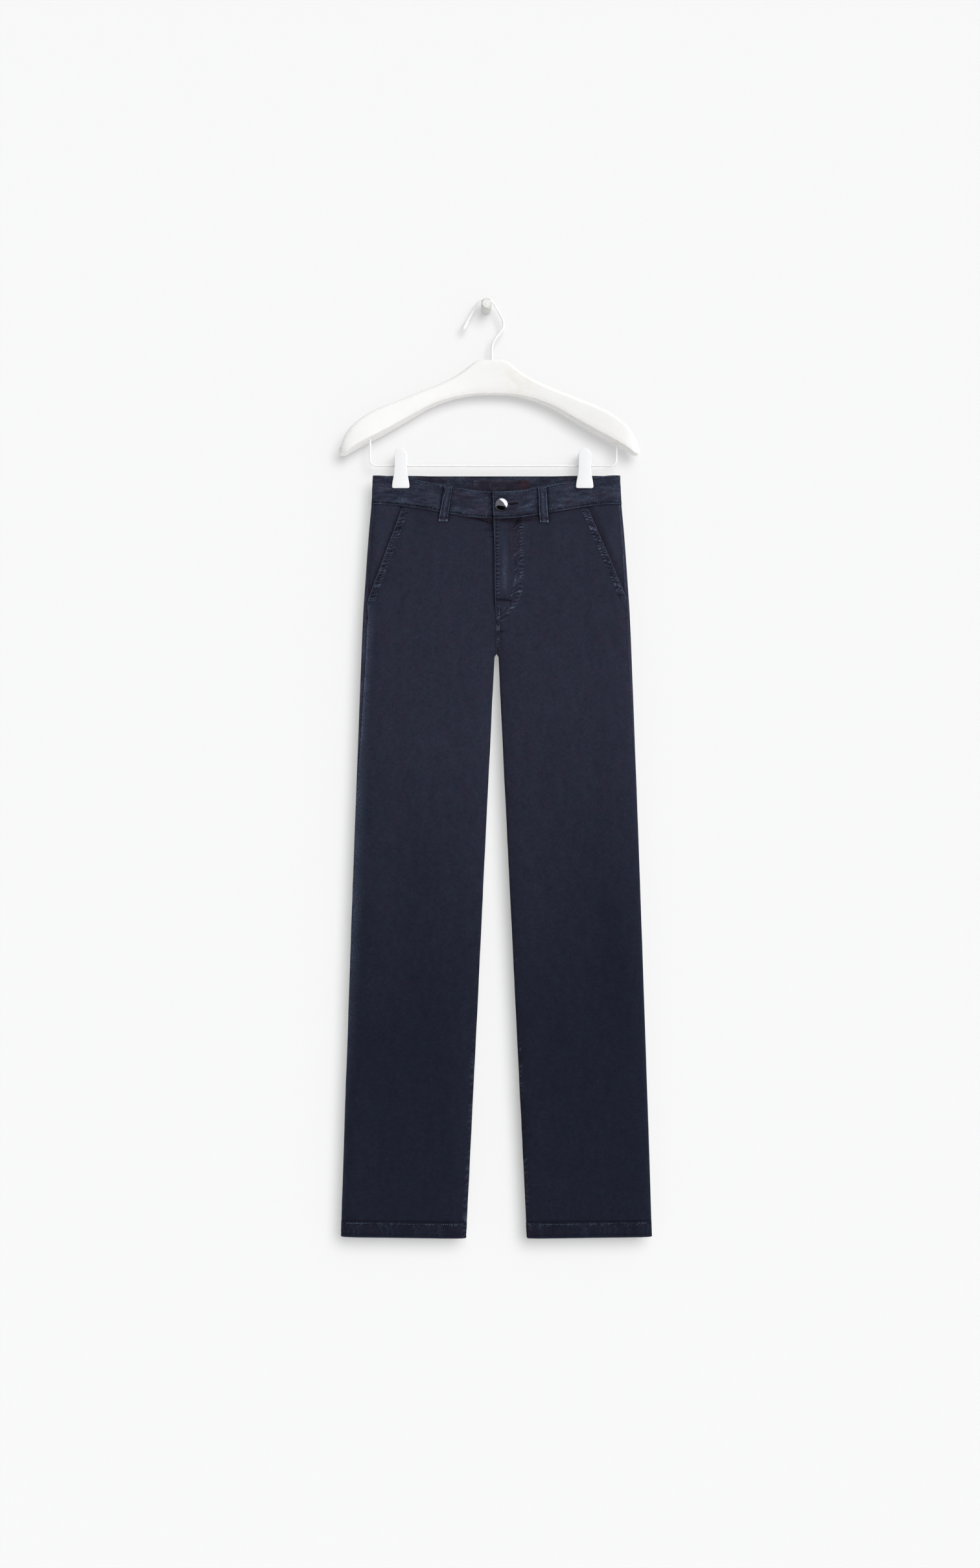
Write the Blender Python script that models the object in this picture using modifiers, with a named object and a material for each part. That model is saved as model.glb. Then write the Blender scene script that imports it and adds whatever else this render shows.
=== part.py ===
"""Chino trousers, clipped by the waistband to a white hanger that hangs from a wall peg.

Frame: the origin is the centre of the peg's back face, on the wall plane y = 0. X runs to the right of someone
who faces the trousers, Z is up and the trousers hang on the -Y side of the wall. Names end in _r and _l for the
wearer's right (-X) and left (+X). Sizes in the tables are millimetres.

The garment is one hollow form, flattened as it hangs: for each drop below the waist edge the tables give how far
the outer fold and the inseam fold are from the centre line and how far the front and the back stand off the middle
plane. A point of the cloth is a distance along the section from the outer fold, a drop and a face. Every panel,
band, facing and loop is a wall between two offsets of that form, so pieces meet with an even gap and what lies on
a panel follows its points.
"""

import math

import bmesh
import bpy
import numpy as np
from mathutils import Vector

MM = 0.001

# ---------------------------------------------------------------- driving sizes, mm
WAIST_Z = -250.0  # back waist edge, below the peg's centre
CENTRE_X = 14.5  # the garment's centre line, to the right of the peg
MID_Y = -30.0  # the garment's middle plane, in front of the wall
OUTSEAM = 1115.0  # waist edge to hem at the outer fold
HEM_SLOPE = 2.4  # how much lower the hem is at the inseam
RISE = 260.5  # waist edge to crotch
NOTCH = 2.7  # half the width at which the legs part
INSEAM_SPREAD = 0.0488  # how fast the inseam moves out, mm a mm

CLOTH = 1.2  # twill panel
BAND = 2.4  # waistband: two layers of twill and its interlining
FACING = 1.0
LOOP = 1.6
GAP = 0.3  # between neighbouring pieces
LAYER = 0.5  # between pieces that lie on each other

BAND_SIDE, BAND_CENTRE = 42.0, 39.0  # waistband height at the side and at the fly
FRONT_DIP = 24.3  # the front waist edge below the back one, at the centre
FORK_FRONT, FORK_BACK = 45.0, 75.0  # run of the crotch curve, front and back
DOME = 2.2  # how fast a section fills out from its fold

LOOP_WIDTH = 12.8
LOOP_BELOW = 13.0  # a loop's end below the waistband seam
BUTTON_X, BUTTON_DROP, BUTTON_R = 7.25, 43.4, 9.8
HOLE_END = 33.0  # far end of the buttonhole
LABEL = (-34.0, 49.0, 6.0, 35.0)  # left, right, top, bottom of the bare patch inside the back band

PEG_R, PEG_LENGTH = 7.8, 46.0
HOOK_Y, HOOK_WIRE = -22.0, 1.8
HANGER_X, HANGER_TOP = 7.8, -79.2
SPAN_R, SPAN_L = 222.7, 215.0  # hanger centre to each end
BAR_Z, BAR_WIRE, BAR_CORNER = -235.5, 1.45, 9.5
BAR_R, BAR_L = -170.8, 190.3  # the bar's uprights
CLIP_R, CLIP_L = -125.6, 143.5  # clip centres
CLIP_BOTTOM, CLIP_TILT = -268.8, math.radians(6.0)
PINCH, PINCH_RUN = 3.2, 34.0  # half thickness of the waist between the jaws, and how wide it stays so


def table(columns, rows):
    return dict(zip(columns, np.array(rows, float).T))


# How the garment's section changes with the drop.
SHAPE = table(
    ("drop", "outer", "front", "back", "fold"),
    (
        (0.0, 180.5, 8.4, 8.0, 3.4),
        (42.0, 182.4, 9.4, 9.6, 3.2),
        (62.0, 184.3, 9.8, 10.6, 2.9),
        (81.0, 186.2, 10.0, 11.6, 2.6),
        (119.0, 189.2, 10.2, 13.0, 2.1),
        (157.0, 192.0, 10.2, 13.6, 1.9),
        (195.0, 194.8, 10.0, 13.2, 1.9),
        (233.0, 196.6, 9.7, 12.4, 1.9),
        (260.5, 197.6, 9.4, 11.8, 1.9),
        (340.0, 200.3, 9.0, 10.4, 1.9),
        (520.0, 206.5, 8.2, 8.8, 1.9),
        (760.0, 214.8, 7.6, 7.8, 1.9),
        (960.0, 221.7, 7.2, 7.4, 1.9),
        (1117.5, 227.1, 6.8, 7.0, 1.9),
    ),
)
# Long soft folds: where the cloth stands a little proud (or, with a minus, falls back).
FOLDS = table(
    ("face", "x", "drop", "width", "length", "height", "lean"),
    (
        (-1, -96.0, 520.0, 26.0, 230.0, 0.9, -0.02),
        (-1, -150.0, 700.0, 22.0, 260.0, -0.8, -0.03),
        (-1, 112.0, 600.0, 30.0, 240.0, 0.9, 0.03),
        (-1, 165.0, 860.0, 24.0, 220.0, -0.7, 0.03),
        (-1, -70.0, 900.0, 26.0, 170.0, 0.7, -0.03),
        (-1, 60.0, 330.0, 22.0, 120.0, -0.7, 0.02),
        (1, -92.0, 330.0, 30.0, 150.0, -1.0, -0.03),
        (1, 98.0, 360.0, 28.0, 170.0, -0.9, 0.03),
        (1, -130.0, 760.0, 28.0, 240.0, 0.8, -0.03),
        (1, 128.0, 720.0, 26.0, 260.0, 0.8, 0.03),
    ),
)
# The edge of the fly's upper side, left of the centre line, how far the wearer's right side runs under it, and
# whether it has sunk below it.
FLY = table(
    ("drop", "edge", "under", "sink"),
    (
        (0.0, -6.0, 7.0, 1.0),
        (25.0, -5.7, 7.0, 1.0),
        (64.0, -4.4, 7.0, 1.0),
        (120.0, -2.5, 7.0, 1.0),
        (160.0, -2.6, 7.0, 1.0),
        (176.0, -2.3, 0.0, 1.0),
        (196.0, -1.4, 0.0, 1.0),
        (216.0, 0.0, 0.0, 0.0),
        (1200.0, 0.0, 0.0, 0.0),
    ),
)
# How far the back panel comes round the outer fold to the side seam.
SIDE_SEAM = table(
    ("drop", "wrap"),
    (
        (0.0, 5.0),
        (80.0, 4.6),
        (180.0, 4.6),
        (230.0, 6.6),
        (350.0, 6.6),
        (430.0, 4.0),
        (510.0, 0.0),
        (1200.0, 0.0),
    ),
)
# Slant pocket mouths: distance from the centre line at the band and at the side seam.
POCKETS = {
    -1: {"top_x": 140.3, "top": 52.9, "end_x": 188.3, "end": 182.9},
    1: {"top_x": 136.5, "top": 53.4, "end_x": 190.4, "end": 179.5},
}
POCKET_UNDER = 20.0  # the facing runs this far behind the front panel
# Belt loops: face, centre at the waist edge, centre at the lower end.
LOOPS = {
    "belt_loop_front_r": (-1, -70.8, -78.2),
    "belt_loop_front_l": (-1, 67.4, 69.8),
    "belt_loop_back_r": (1, -98.0, -98.0),
    "belt_loop_back_centre": (1, 0.0, 0.0),
    "belt_loop_back_l": (1, 98.0, 98.0),
}
# The hanger's outline, as a share of the half span, and its thickness and how far forward its middle is.
HANGER = table(
    ("share", "top", "bottom", "thick", "forward", "bevel"),
    (
        (0.00, 0.0, 50.6, 17.0, 0.0, 0.8),
        (0.07, 0.0, 50.9, 17.0, 0.1, 0.8),
        (0.105, 2.2, 51.3, 17.2, 0.2, 0.8),
        (0.145, 8.5, 52.3, 17.6, 0.3, 1.0),
        (0.19, 16.6, 54.0, 18.2, 0.5, 1.2),
        (0.25, 25.0, 57.3, 19.0, 0.8, 1.6),
        (0.335, 34.6, 63.5, 20.4, 1.5, 2.2),
        (0.42, 42.8, 71.8, 22.0, 2.3, 2.8),
        (0.50, 50.0, 82.2, 23.6, 3.2, 3.4),
        (0.60, 59.2, 95.6, 25.6, 4.5, 4.2),
        (0.68, 66.6, 106.2, 27.2, 5.7, 4.8),
        (0.75, 73.2, 115.0, 28.4, 6.8, 5.2),
        (0.82, 81.6, 123.2, 29.2, 8.0, 5.4),
        (0.88, 91.0, 130.6, 28.8, 9.1, 5.2),
        (0.935, 103.0, 137.6, 26.0, 10.2, 4.4),
        (0.97, 114.6, 141.6, 21.0, 10.9, 3.0),
        (0.99, 124.6, 141.6, 14.0, 11.3, 1.6),
        (1.00, 131.0, 138.6, 7.0, 11.5, 0.6),
    ),
)
HANGER_SIDES = 14
# The hook's centre line, right of the peg and above its centre, from its free end to the hanger.
HOOK = (
    (-28.0, -21.1),
    (-22.0, -10.2),
    (-15.6, 1.6),
    (-9.6, 8.3),
    (-2.0, 10.4),
    (5.2, 8.7),
    (11.6, 2.7),
    (17.2, -7.0),
    (22.4, -16.8),
    (24.8, -24.9),
    (23.6, -32.6),
    (18.2, -40.4),
    (11.4, -49.4),
    (8.4, -57.4),
    (HANGER_X, -66.8),
    (HANGER_X, -79.2),
    (HANGER_X, -90.5),
)
HOOK_TIP = ((-34.6, -33.2), (-28.2, -21.45))
HOOK_TIP_R = 2.8
# Half width of a clip's jaw at heights above its gripping edge.
JAW = ((0.0, 10.6), (0.7, 12.1), (2.2, 12.8), (8.0, 12.3), (15.0, 10.9), (22.0, 9.6), (30.0, 9.1), (48.8, 9.1))
JAW_HALF = 1.5

# Share of the way from a panel's outer edge to its inner one, for each column of points.
COLUMNS = (0.0, 0.006, 0.014, 0.032, 0.064, 0.105, 0.16, 0.26, 0.40, 0.56, 0.71, 0.83, 0.90, 0.945, 0.972, 0.988, 0.9962, 1.0)
# Drops of the rows of points of a panel. The first row lies on the waistband seam.
ROWS = (42.3, 66.0, 92.0, 122.0, 152.0, 182.0, 190.0, 205.0, 222.0, 238.0, 250.0, 257.0, RISE, 263.6, 268.0, 282.0, 330.0, 430.0, 560.0, 700.0, 840.0, 980.0, 1094.0, OUTSEAM)


def soft(t):
    t = np.clip(t, 0.0, 1.0)
    return t * t * (3.0 - 2.0 * t)


def read(source, column, drop):
    """A table's column at a drop, averaged over 16 mm so that its rows don't show as kinks."""
    return sum(np.interp(drop + o, source["drop"], source[column]) for o in (-8.0, -4.0, 0.0, 4.0, 8.0)) / 5.0


def inner_edge(drop):
    """Distance of the inseam fold from the centre line. Above the crotch it is half the gap between the halves."""
    below = drop - RISE
    return 0.5 * GAP + soft(below / 6.0) * (NOTCH + INSEAM_SPREAD * np.maximum(below, 0.0))


def fork(drop, face):
    """1 where the two legs are one hollow, falling to 0 along the crotch curve."""
    run = np.where(face < 0, FORK_FRONT, FORK_BACK)
    q = np.clip((drop - (RISE - run)) / run, 0.0, 1.0)
    return np.sqrt(1.0 - q * q)


def filled(q):
    return 1.0 - (1.0 - np.minimum(q, 1.0)) ** DOME


def pinch(x, drop):
    """Share of the depth that is left where the clips press the waist together."""
    hold = 1.0 - soft((drop - 26.0) / 120.0)
    left = np.ones_like(x)
    for clip in (CLIP_R, CLIP_L):
        near = np.exp(-(((x - (clip - CENTRE_X)) / PINCH_RUN) ** 4))
        left = left * (1.0 - (1.0 - PINCH / 8.6) * near * hold)
    return left


def depth_squared(x, drop, face):
    """Square of how far the form's surface is from the middle plane."""
    depth = np.where(face < 0, read(SHAPE, "front", drop), read(SHAPE, "back", drop))
    run = 0.5 * DOME * depth**2 / read(SHAPE, "fold", drop)
    c = fork(drop, face) ** 2
    lift = np.ones_like(x)
    for i in range(len(FOLDS["x"])):
        along = drop - FOLDS["drop"][i]
        across = x - FOLDS["x"][i] - FOLDS["lean"][i] * along
        height = FOLDS["height"][i] * np.exp(-((across / FOLDS["width"][i]) ** 2) - (along / FOLDS["length"][i]) ** 2)
        lift = lift + np.where(face == FOLDS["face"][i], height, 0.0) / depth
    side = filled((read(SHAPE, "outer", drop) - np.abs(x)) / run)
    legs = c + (1.0 - c) * filled((np.abs(x) - inner_edge(drop)) / run)
    return side * legs * (depth * lift * pinch(x, drop)) ** 2


def surface(x, drop, face, out=0.0):
    """World points, in metres, of the form at x from the garment's centre line, moved out along its normal."""
    x, drop, face, out = np.broadcast_arrays(np.asarray(x, float), drop, face, out)
    h = 0.2
    s = np.maximum(depth_squared(x, drop, face), 0.0)
    sx = (depth_squared(x + h, drop, face) - depth_squared(x - h, drop, face)) / (2 * h)
    sd = (depth_squared(x, drop + h, face) - depth_squared(x, drop - h, face)) / (2 * h)
    y = face * np.sqrt(s)
    n = np.stack([-sx, 2 * y, sd], -1)
    n /= np.maximum(np.linalg.norm(n, axis=-1, keepdims=True), 1e-9)
    p = np.stack([x + CENTRE_X, y + MID_Y, WAIST_Z - drop], -1)
    return (p + n * out[..., None]) * MM


def fold_x(along, drop, radius):
    """How far inside a fold a point lies that is a distance along the cloth from it."""
    return np.sqrt(radius**2 + along**2) - radius


def along_fold(inside, radius):
    return np.sqrt((np.maximum(inside, 0.0) + radius) ** 2 - radius**2)


def half_girths(drop, face, inner):
    """Distances along the cloth from the outer fold to half way, and from half way to the inner edge."""
    outer, fold = read(SHAPE, "outer", drop), read(SHAPE, "fold", drop)
    half = 0.5 * (outer - inner)
    inner_fold = fold * (1.0 - fork(drop, face)) + 1e-6
    return outer, fold, inner_fold, along_fold(half, fold), along_fold(half, inner_fold)


def panel_x(share, start, drop, face, inner, keep):
    """x of the point at a share of the way along the cloth, from start past the outer fold to keep short of the inner edge."""
    outer, fold, inner_fold, a, b = half_girths(drop, face, inner)
    at = start + share * (a + b - keep - start)
    from_outer = outer - fold_x(np.minimum(np.abs(at), a), drop, fold)
    from_inner = inner + fold_x(np.clip(a + b - at, 0.0, b), drop, inner_fold)
    return np.where(at <= a, from_outer, from_inner), at


def waist_edge(x, face):
    """Drop of the waistband's upper edge: level at the back, dipping to the fly at the front."""
    dip = FRONT_DIP * 0.5 * (1.0 + np.cos(np.pi * np.clip(np.abs(x) / SHAPE["outer"][0], 0.0, 1.0)))
    return np.where(face < 0, dip, 0.0)


def band_seam(x, face):
    """Drop of the waistband's lower seam."""
    share = np.clip(np.abs(x) / SHAPE["outer"][0], 0.0, 1.0)
    front = waist_edge(x, face) + BAND_CENTRE + (BAND_SIDE - BAND_CENTRE) * share
    return np.where(face < 0, front, BAND_SIDE)


def pocket_mouth(side, drop):
    """Distance of the slant pocket's mouth from the centre line."""
    p = POCKETS[side]
    return p["top_x"] + (p["end_x"] - p["top_x"]) * (drop - p["top"]) / (p["end"] - p["top"])


# ---------------------------------------------------------------- building blocks
for old in list(bpy.data.objects):
    bpy.data.objects.remove(old, do_unlink=True)

parts = bpy.data.collections.new("chino_trousers")
cutters = bpy.data.collections.new("cutters")
for collection in (parts, cutters):
    bpy.context.scene.collection.children.link(collection)


def finish_of(name, colour, roughness, metallic=0.0, sheen=0.0):
    material = bpy.data.materials.new(name)
    material.use_nodes = True
    shader = material.node_tree.nodes["Principled BSDF"]
    shader.inputs["Base Color"].default_value = (*colour, 1.0)
    shader.inputs["Roughness"].default_value = roughness
    shader.inputs["Metallic"].default_value = metallic
    shader.inputs["Sheen Weight"].default_value = sheen
    material.diffuse_color = (*colour, 1.0)
    return material


def twill(name):
    return finish_of(f"{name}_twill", (0.022, 0.026, 0.045), 0.9, sheen=0.25)


def white(name):
    return finish_of(f"{name}_white", (0.86, 0.86, 0.84), 0.45)


def add(name, data, material, collection=parts):
    thing = bpy.data.objects.new(name, data)
    data.materials.append(material)
    collection.objects.link(thing)
    return thing


def mesh_of(name, bm):
    bmesh.ops.recalc_face_normals(bm, faces=bm.faces)
    mesh = bpy.data.meshes.new(name)
    bm.to_mesh(mesh)
    bm.free()
    mesh.shade_smooth()
    mesh.set_sharp_from_angle(angle=math.radians(40.0))
    return mesh


def wall(name, outside, inside, material):
    """A closed wall between two sheets of points, each rows by columns."""
    bm = bmesh.new()
    front = [[bm.verts.new(p) for p in row] for row in outside]
    back = [[bm.verts.new(p) for p in row] for row in inside]
    rows, columns = len(front), len(front[0])
    for j in range(rows - 1):
        for i in range(columns - 1):
            bm.faces.new((front[j][i], front[j][i + 1], front[j + 1][i + 1], front[j + 1][i]))
            bm.faces.new((back[j][i], back[j + 1][i], back[j + 1][i + 1], back[j][i + 1]))
    ring = [(0, i) for i in range(columns)] + [(j, columns - 1) for j in range(1, rows)]
    ring += [(rows - 1, i) for i in reversed(range(columns - 1))] + [(j, 0) for j in reversed(range(1, rows - 1))]
    for (j, i), (m, k) in zip(ring, ring[1:] + ring[:1]):
        bm.faces.new((front[j][i], back[j][i], back[m][k], front[m][k]))
    return add(name, mesh_of(name, bm), material)


def layer(name, x, drop, face, top, thickness, material):
    """A wall of the form from offset top inwards by its thickness."""
    return wall(name, surface(x, drop, face, top), surface(x, drop, face, top - thickness), material)


def turned(name, profile, steps, material):
    """A solid turned about its own Z from (radius, height) pairs that run down its outer side."""
    mesh = bpy.data.meshes.new(name)
    mesh.from_pydata([(r * MM, 0.0, z * MM) for r, z in profile], [(i, i + 1) for i in range(len(profile) - 1)], [])
    thing = add(name, mesh, material)
    screw = thing.modifiers.new("turn", "SCREW")
    screw.axis, screw.angle = "Z", math.tau
    screw.steps = screw.render_steps = steps
    screw.use_merge_vertices, screw.merge_threshold = True, 1e-6
    screw.use_smooth_shade = True
    return thing


def wire(name, points, radius, material, resolution=2):
    """A round wire with closed ends along points in metres."""
    curve = bpy.data.curves.new(name, "CURVE")
    curve.dimensions, curve.fill_mode = "3D", "FULL"
    curve.bevel_depth, curve.bevel_resolution = radius * MM, resolution
    curve.use_fill_caps = True
    spline = curve.splines.new("POLY")
    spline.points.add(len(points) - 1)
    for point, co in zip(spline.points, points):
        point.co = (*co, 1.0)
    spline.use_smooth = True
    return add(name, curve, material)


def through(points, steps):
    """Points on a smooth curve through the given ones, steps to each stretch."""
    p = [Vector(q) for q in points]
    p = [2 * p[0] - p[1], *p, 2 * p[-1] - p[-2]]
    found = []
    for a, b, c, d in zip(p, p[1:], p[2:], p[3:]):
        for k in range(steps):
            t = k / steps
            found.append(0.5 * ((2 * b) + (c - a) * t + (2 * a - 5 * b + 4 * c - d) * t * t + (3 * b - a - 3 * c + d) * t**3))
    return [*found, p[-2]]


def cylinder(name, radius, length, centre, direction, collection, material, sides=16):
    """A round bar with its middle at centre, along direction."""
    bm = bmesh.new()
    bmesh.ops.create_cone(bm, cap_ends=True, segments=sides, radius1=radius * MM, radius2=radius * MM, depth=length * MM)
    thing = add(name, mesh_of(name, bm), material, collection)
    thing.location = Vector(centre) * MM
    thing.rotation_euler = Vector(direction).to_track_quat("Z", "Y").to_euler()
    return thing


def cut(thing, cutter):
    cutter.hide_render, cutter.display_type = True, "WIRE"
    cutter.hide_viewport = False
    opening = thing.modifiers.new(cutter.name, "BOOLEAN")
    opening.operation, opening.object, opening.solver = "DIFFERENCE", cutter, "EXACT"


steel = finish_of("cutter", (0.5, 0.5, 0.5), 0.5)

# ---------------------------------------------------------------- panels
share = np.array(COLUMNS)[None, :]
rows = np.array(ROWS)[:, None]


def hem(drop, share_in):
    return drop + HEM_SLOPE * share_in * soft((drop - 1000.0) / 100.0)


def front_rows(x):
    """The rows start on the dipping seam and level out over the hip."""
    return rows + (band_seam(x, -1) + GAP - rows[0]) * (1.0 - soft((rows - rows[0]) / 150.0))


for side, tag in ((-1, "r"), (1, "l")):
    # Front panel, cut back to the pocket's slant above the side seam.
    drop = front_rows(185.0 * (1.0 - share))
    drop = hem(drop, share)
    for _ in range(3):
        outer, fold = read(SHAPE, "outer", drop), read(SHAPE, "fold", drop)
        seam = read(SIDE_SEAM, "wrap", drop) + 0.5 * GAP
        slant = along_fold(outer - pocket_mouth(side, drop), fold)
        start = np.maximum(seam, np.where(pocket_mouth(side, drop) < outer, slant, 0.0))
        edge, under = read(FLY, "edge", drop), read(FLY, "under", drop)
        if side > 0:
            inner = inner_edge(drop) - 0.5 * GAP * soft((216.0 - drop) / 20.0) + edge
        else:
            inner = inner_edge(drop) + 0.5 * GAP * soft((216.0 - drop) / 20.0) - edge - under
        keep = 0.5 * GAP * (1.0 - fork(drop, -1))
        x, at = panel_x(share, start, drop, -1, inner, keep)
        drop = hem(front_rows(x), share)
    if side > 0:
        out = np.zeros_like(x)
    else:
        sink = soft((-edge + 9.0 - x) / 7.0) * read(FLY, "sink", drop)
        out = -(CLOTH + LAYER) * sink
    layer(f"front_panel_{tag}", side * x, drop, -1, out, CLOTH, twill(f"front_panel_{tag}"))

    # Back panel, which comes round the outer fold to the side seam.
    drop = hem(np.broadcast_to(rows, (len(ROWS), len(COLUMNS))).copy(), share)
    start = -(read(SIDE_SEAM, "wrap", drop) - 0.5 * GAP)
    keep = 0.5 * GAP * (1.0 - fork(drop, 1))
    x, at = panel_x(share, start, drop, 1, inner_edge(drop), keep)
    face = np.where(at < 0.0, -1, 1)
    wrapped = np.where((face < 0), np.maximum(drop, band_seam(x, -1) + GAP), drop)
    layer(f"back_panel_{tag}", side * x, np.where(rows < 60.0, wrapped, drop), face, 0.0, CLOTH, twill(f"back_panel_{tag}"))

    # Pocket facing: from the side seam, down under the front panel's slant edge.
    steps = np.linspace(0.0, 1.0, 9)[None, :]
    level = np.array((0.0, 24.0, 48.0, 72.0, 96.0, 118.0, 131.0, 139.0))[:, None]
    drop = BAND_SIDE + GAP + level + 0.0 * steps
    for _ in range(4):
        outer, fold = read(SHAPE, "outer", drop), read(SHAPE, "fold", drop)
        low = read(SIDE_SEAM, "wrap", drop) + 0.5 * GAP
        slant = along_fold(outer - np.minimum(pocket_mouth(side, drop), outer), fold)
        high = np.maximum(slant, low) + POCKET_UNDER
        at = low + steps * (high - low)
        x = outer - fold_x(at, drop, fold)
        top = band_seam(x, -1) + GAP
        drop = top + level * (POCKETS[side]["end"] + 1.5 - top) / level[-1]
    run = np.clip(slant - low - 0.4, 1.6, 8.5)
    sink = soft((at - slant + 0.3 * run) / run + 1.0)
    layer(f"pocket_facing_{tag}", side * x, drop, -1, -(CLOTH + 0.9) * sink, FACING, twill(f"pocket_facing_{tag}"))

# ---------------------------------------------------------------- waistband halves
# Each half runs from the fly round the side to the centre back. The wearer's right half carries on under the left.
for side, tag in ((-1, "r"), (1, "l")):
    height = np.array((0.0, 0.33, 0.67, 1.0))[:, None]
    ahead = SHAPE["outer"][0] - (-6.0 + GAP if side > 0 else -30.0)
    nose = (1.2, 2.6, 4.6, 8.0)
    front = [*np.linspace(-ahead, -14.0, 23 if side > 0 else 26), *(-n for n in reversed(nose))]
    girth = np.array([*front, 0.0, *nose, *np.linspace(14.0, SHAPE["outer"][0] + 3.0, 18)])[None, :]
    face = np.where(girth < 0.0, -1, 1)
    drop = 42.0 * height + 0.0 * girth
    for _ in range(3):
        outer, fold = read(SHAPE, "outer", drop), read(SHAPE, "fold", drop)
        inside = fold_x(np.abs(girth), drop, fold)
        x = outer - inside
        x = np.where(face > 0, np.maximum(x, 0.5 * GAP), x)
        edge = read(FLY, "edge", drop) if side > 0 else np.full_like(drop, -30.0)
        # The columns near the end are drawn in evenly, so that the last lies on the fly's edge.
        end = (outer - fold_x(ahead, drop, fold)) - (edge if side > 0 else edge)
        x = np.where(face < 0, x - end * soft((30.0 - x) / 30.0 if side > 0 else (6.0 - x) / 36.0), x)
        drop = waist_edge(x, face) + height * (band_seam(x, face) - waist_edge(x, face))
    if side > 0:
        out = np.zeros_like(x)
    else:
        fly = -read(FLY, "edge", drop)
        out = np.where(face < 0, -(BAND + LAYER) * soft((fly + 9.0 - x) / 7.0), 0.0)
    layer(f"waistband_{tag}", side * x, drop, face, out, BAND, twill(f"waistband_{tag}"))

# The buttonhole: a round end for the shank and a slit.
here = surface(BUTTON_X, BUTTON_DROP, -1)
eyelet = cylinder("buttonhole_eyelet", 2.9, 4.6, here / MM + np.array((0.0, 1.2, 0.0)), (0, -1, 0), cutters, steel)
slit_middle = surface(0.5 * (BUTTON_X + HOLE_END), BUTTON_DROP, -1)
bm = bmesh.new()
bmesh.ops.create_cube(bm, size=1.0)
bmesh.ops.scale(bm, vec=((HOLE_END - BUTTON_X) * MM, 5.2 * MM, 1.3 * MM), verts=bm.verts)
slit = add("buttonhole_slit", mesh_of("buttonhole_slit", bm), steel, cutters)
slit.location = Vector(slit_middle) + Vector((0.0, 1.2 * MM, 0.0))
for tool in (eyelet, slit):
    cut(bpy.data.objects["waistband_l"], tool)

# ---------------------------------------------------------------- fly shield, behind the opening
columns = np.linspace(-15.0, 33.0, 8)[None, :]
levels = np.linspace(0.0, 1.0, 8)[:, None]
x = columns + 0.0 * levels
start = band_seam(x, -1) + GAP
end = 196.0 - 22.0 * ((x + 15.0) / 48.0) ** 2
layer("fly_shield", x, start + levels * (end - start), -1, -2.0 * (CLOTH + LAYER), FACING, twill("fly_shield"))

# ---------------------------------------------------------------- belt loops
for name, (face, x_top, x_end) in LOOPS.items():
    v = np.array((0.0, 0.06, 0.2, 0.4, 0.6, 0.8, 0.93, 1.0))[:, None]
    middle = x_top + (x_end - x_top) * v
    x = middle + LOOP_WIDTH * np.array((-0.5, -0.17, 0.17, 0.5))[None, :]
    top = waist_edge(middle, face) + 0.4
    drop = top + v * (band_seam(middle, face) + LOOP_BELOW - top) + 0.0 * x
    out = LAYER + LOOP + 1.1 * np.sin(np.pi * v) ** 0.8 + 0.0 * x
    layer(name, x, drop, face, out, LOOP, twill(name))

# ---------------------------------------------------------------- button, and the bare patch inside the back band
stand = 1.0  # the cap's back, off the band
under = BAND + LAYER - GAP
metal = finish_of("button_metal", (0.14, 0.14, 0.17), 0.22, metallic=1.0)
button = turned(
    "button",
    (
        (0.0, stand + 3.6),
        (3.0, stand + 3.45),
        (6.0, stand + 2.95),
        (8.2, stand + 2.1),
        (9.4, stand + 1.2),
        (BUTTON_R, stand + 0.6),
        (9.3, stand),
        (2.5, stand),
        (2.5, -under),
        (0.0, -under),
    ),
    32,
    metal,
)
button.location = Vector(here)
button.rotation_euler = (math.pi / 2, 0.0, 0.0)

x = np.linspace(LABEL[0], LABEL[1], 9)[None, :]
drop = np.linspace(LABEL[2], LABEL[3], 4)[:, None] + 0.0 * x
patch = finish_of("inner_label_cloth", (0.018, 0.012, 0.016), 0.8)
layer("inner_label", x + 0.0 * drop, drop, 1, -(BAND + LAYER), 0.8, patch)

# ---------------------------------------------------------------- hanger
u = np.array([k / HANGER_SIDES * 2.0 * np.pi for k in range(HANGER_SIDES)])


def hanger_ring(share_out):
    """One section across an arm: a rounded upright slab whose lower front corner is drawn up."""
    q = abs(share_out)
    top, bottom, thick, ahead, bevel = (np.interp(q, HANGER["share"], HANGER[c]) for c in ("top", "bottom", "thick", "forward", "bevel"))
    power = 0.62
    y = np.sign(np.cos(u)) * np.abs(np.cos(u)) ** power
    z = np.sign(np.sin(u)) * np.abs(np.sin(u)) ** power
    low = np.clip(-z, 0.0, 1.0) * np.clip(0.5 - 0.5 * y, 0.0, 1.0)
    x = HANGER_X + share_out * (SPAN_R if share_out < 0 else SPAN_L)
    height = -0.5 * (top + bottom) + 0.5 * (bottom - top) * z + bevel * low
    return [Vector((x, HOOK_Y - ahead + 0.5 * thick * a, HANGER_TOP + b)) * MM for a, b in zip(y, height)]


bm = bmesh.new()
stations = [-s for s in reversed(HANGER["share"][1:])] + list(HANGER["share"])
rings = [[bm.verts.new(p) for p in hanger_ring(s)] for s in stations]
for one, two in zip(rings, rings[1:]):
    for k in range(HANGER_SIDES):
        m = (k + 1) % HANGER_SIDES
        bm.faces.new((one[k], one[m], two[m], two[k]))
for end_ring in (rings[0], rings[-1]):
    bm.faces.new(end_ring)
hanger = add("hanger_body", mesh_of("hanger_body", bm), white("hanger_body"))


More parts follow.
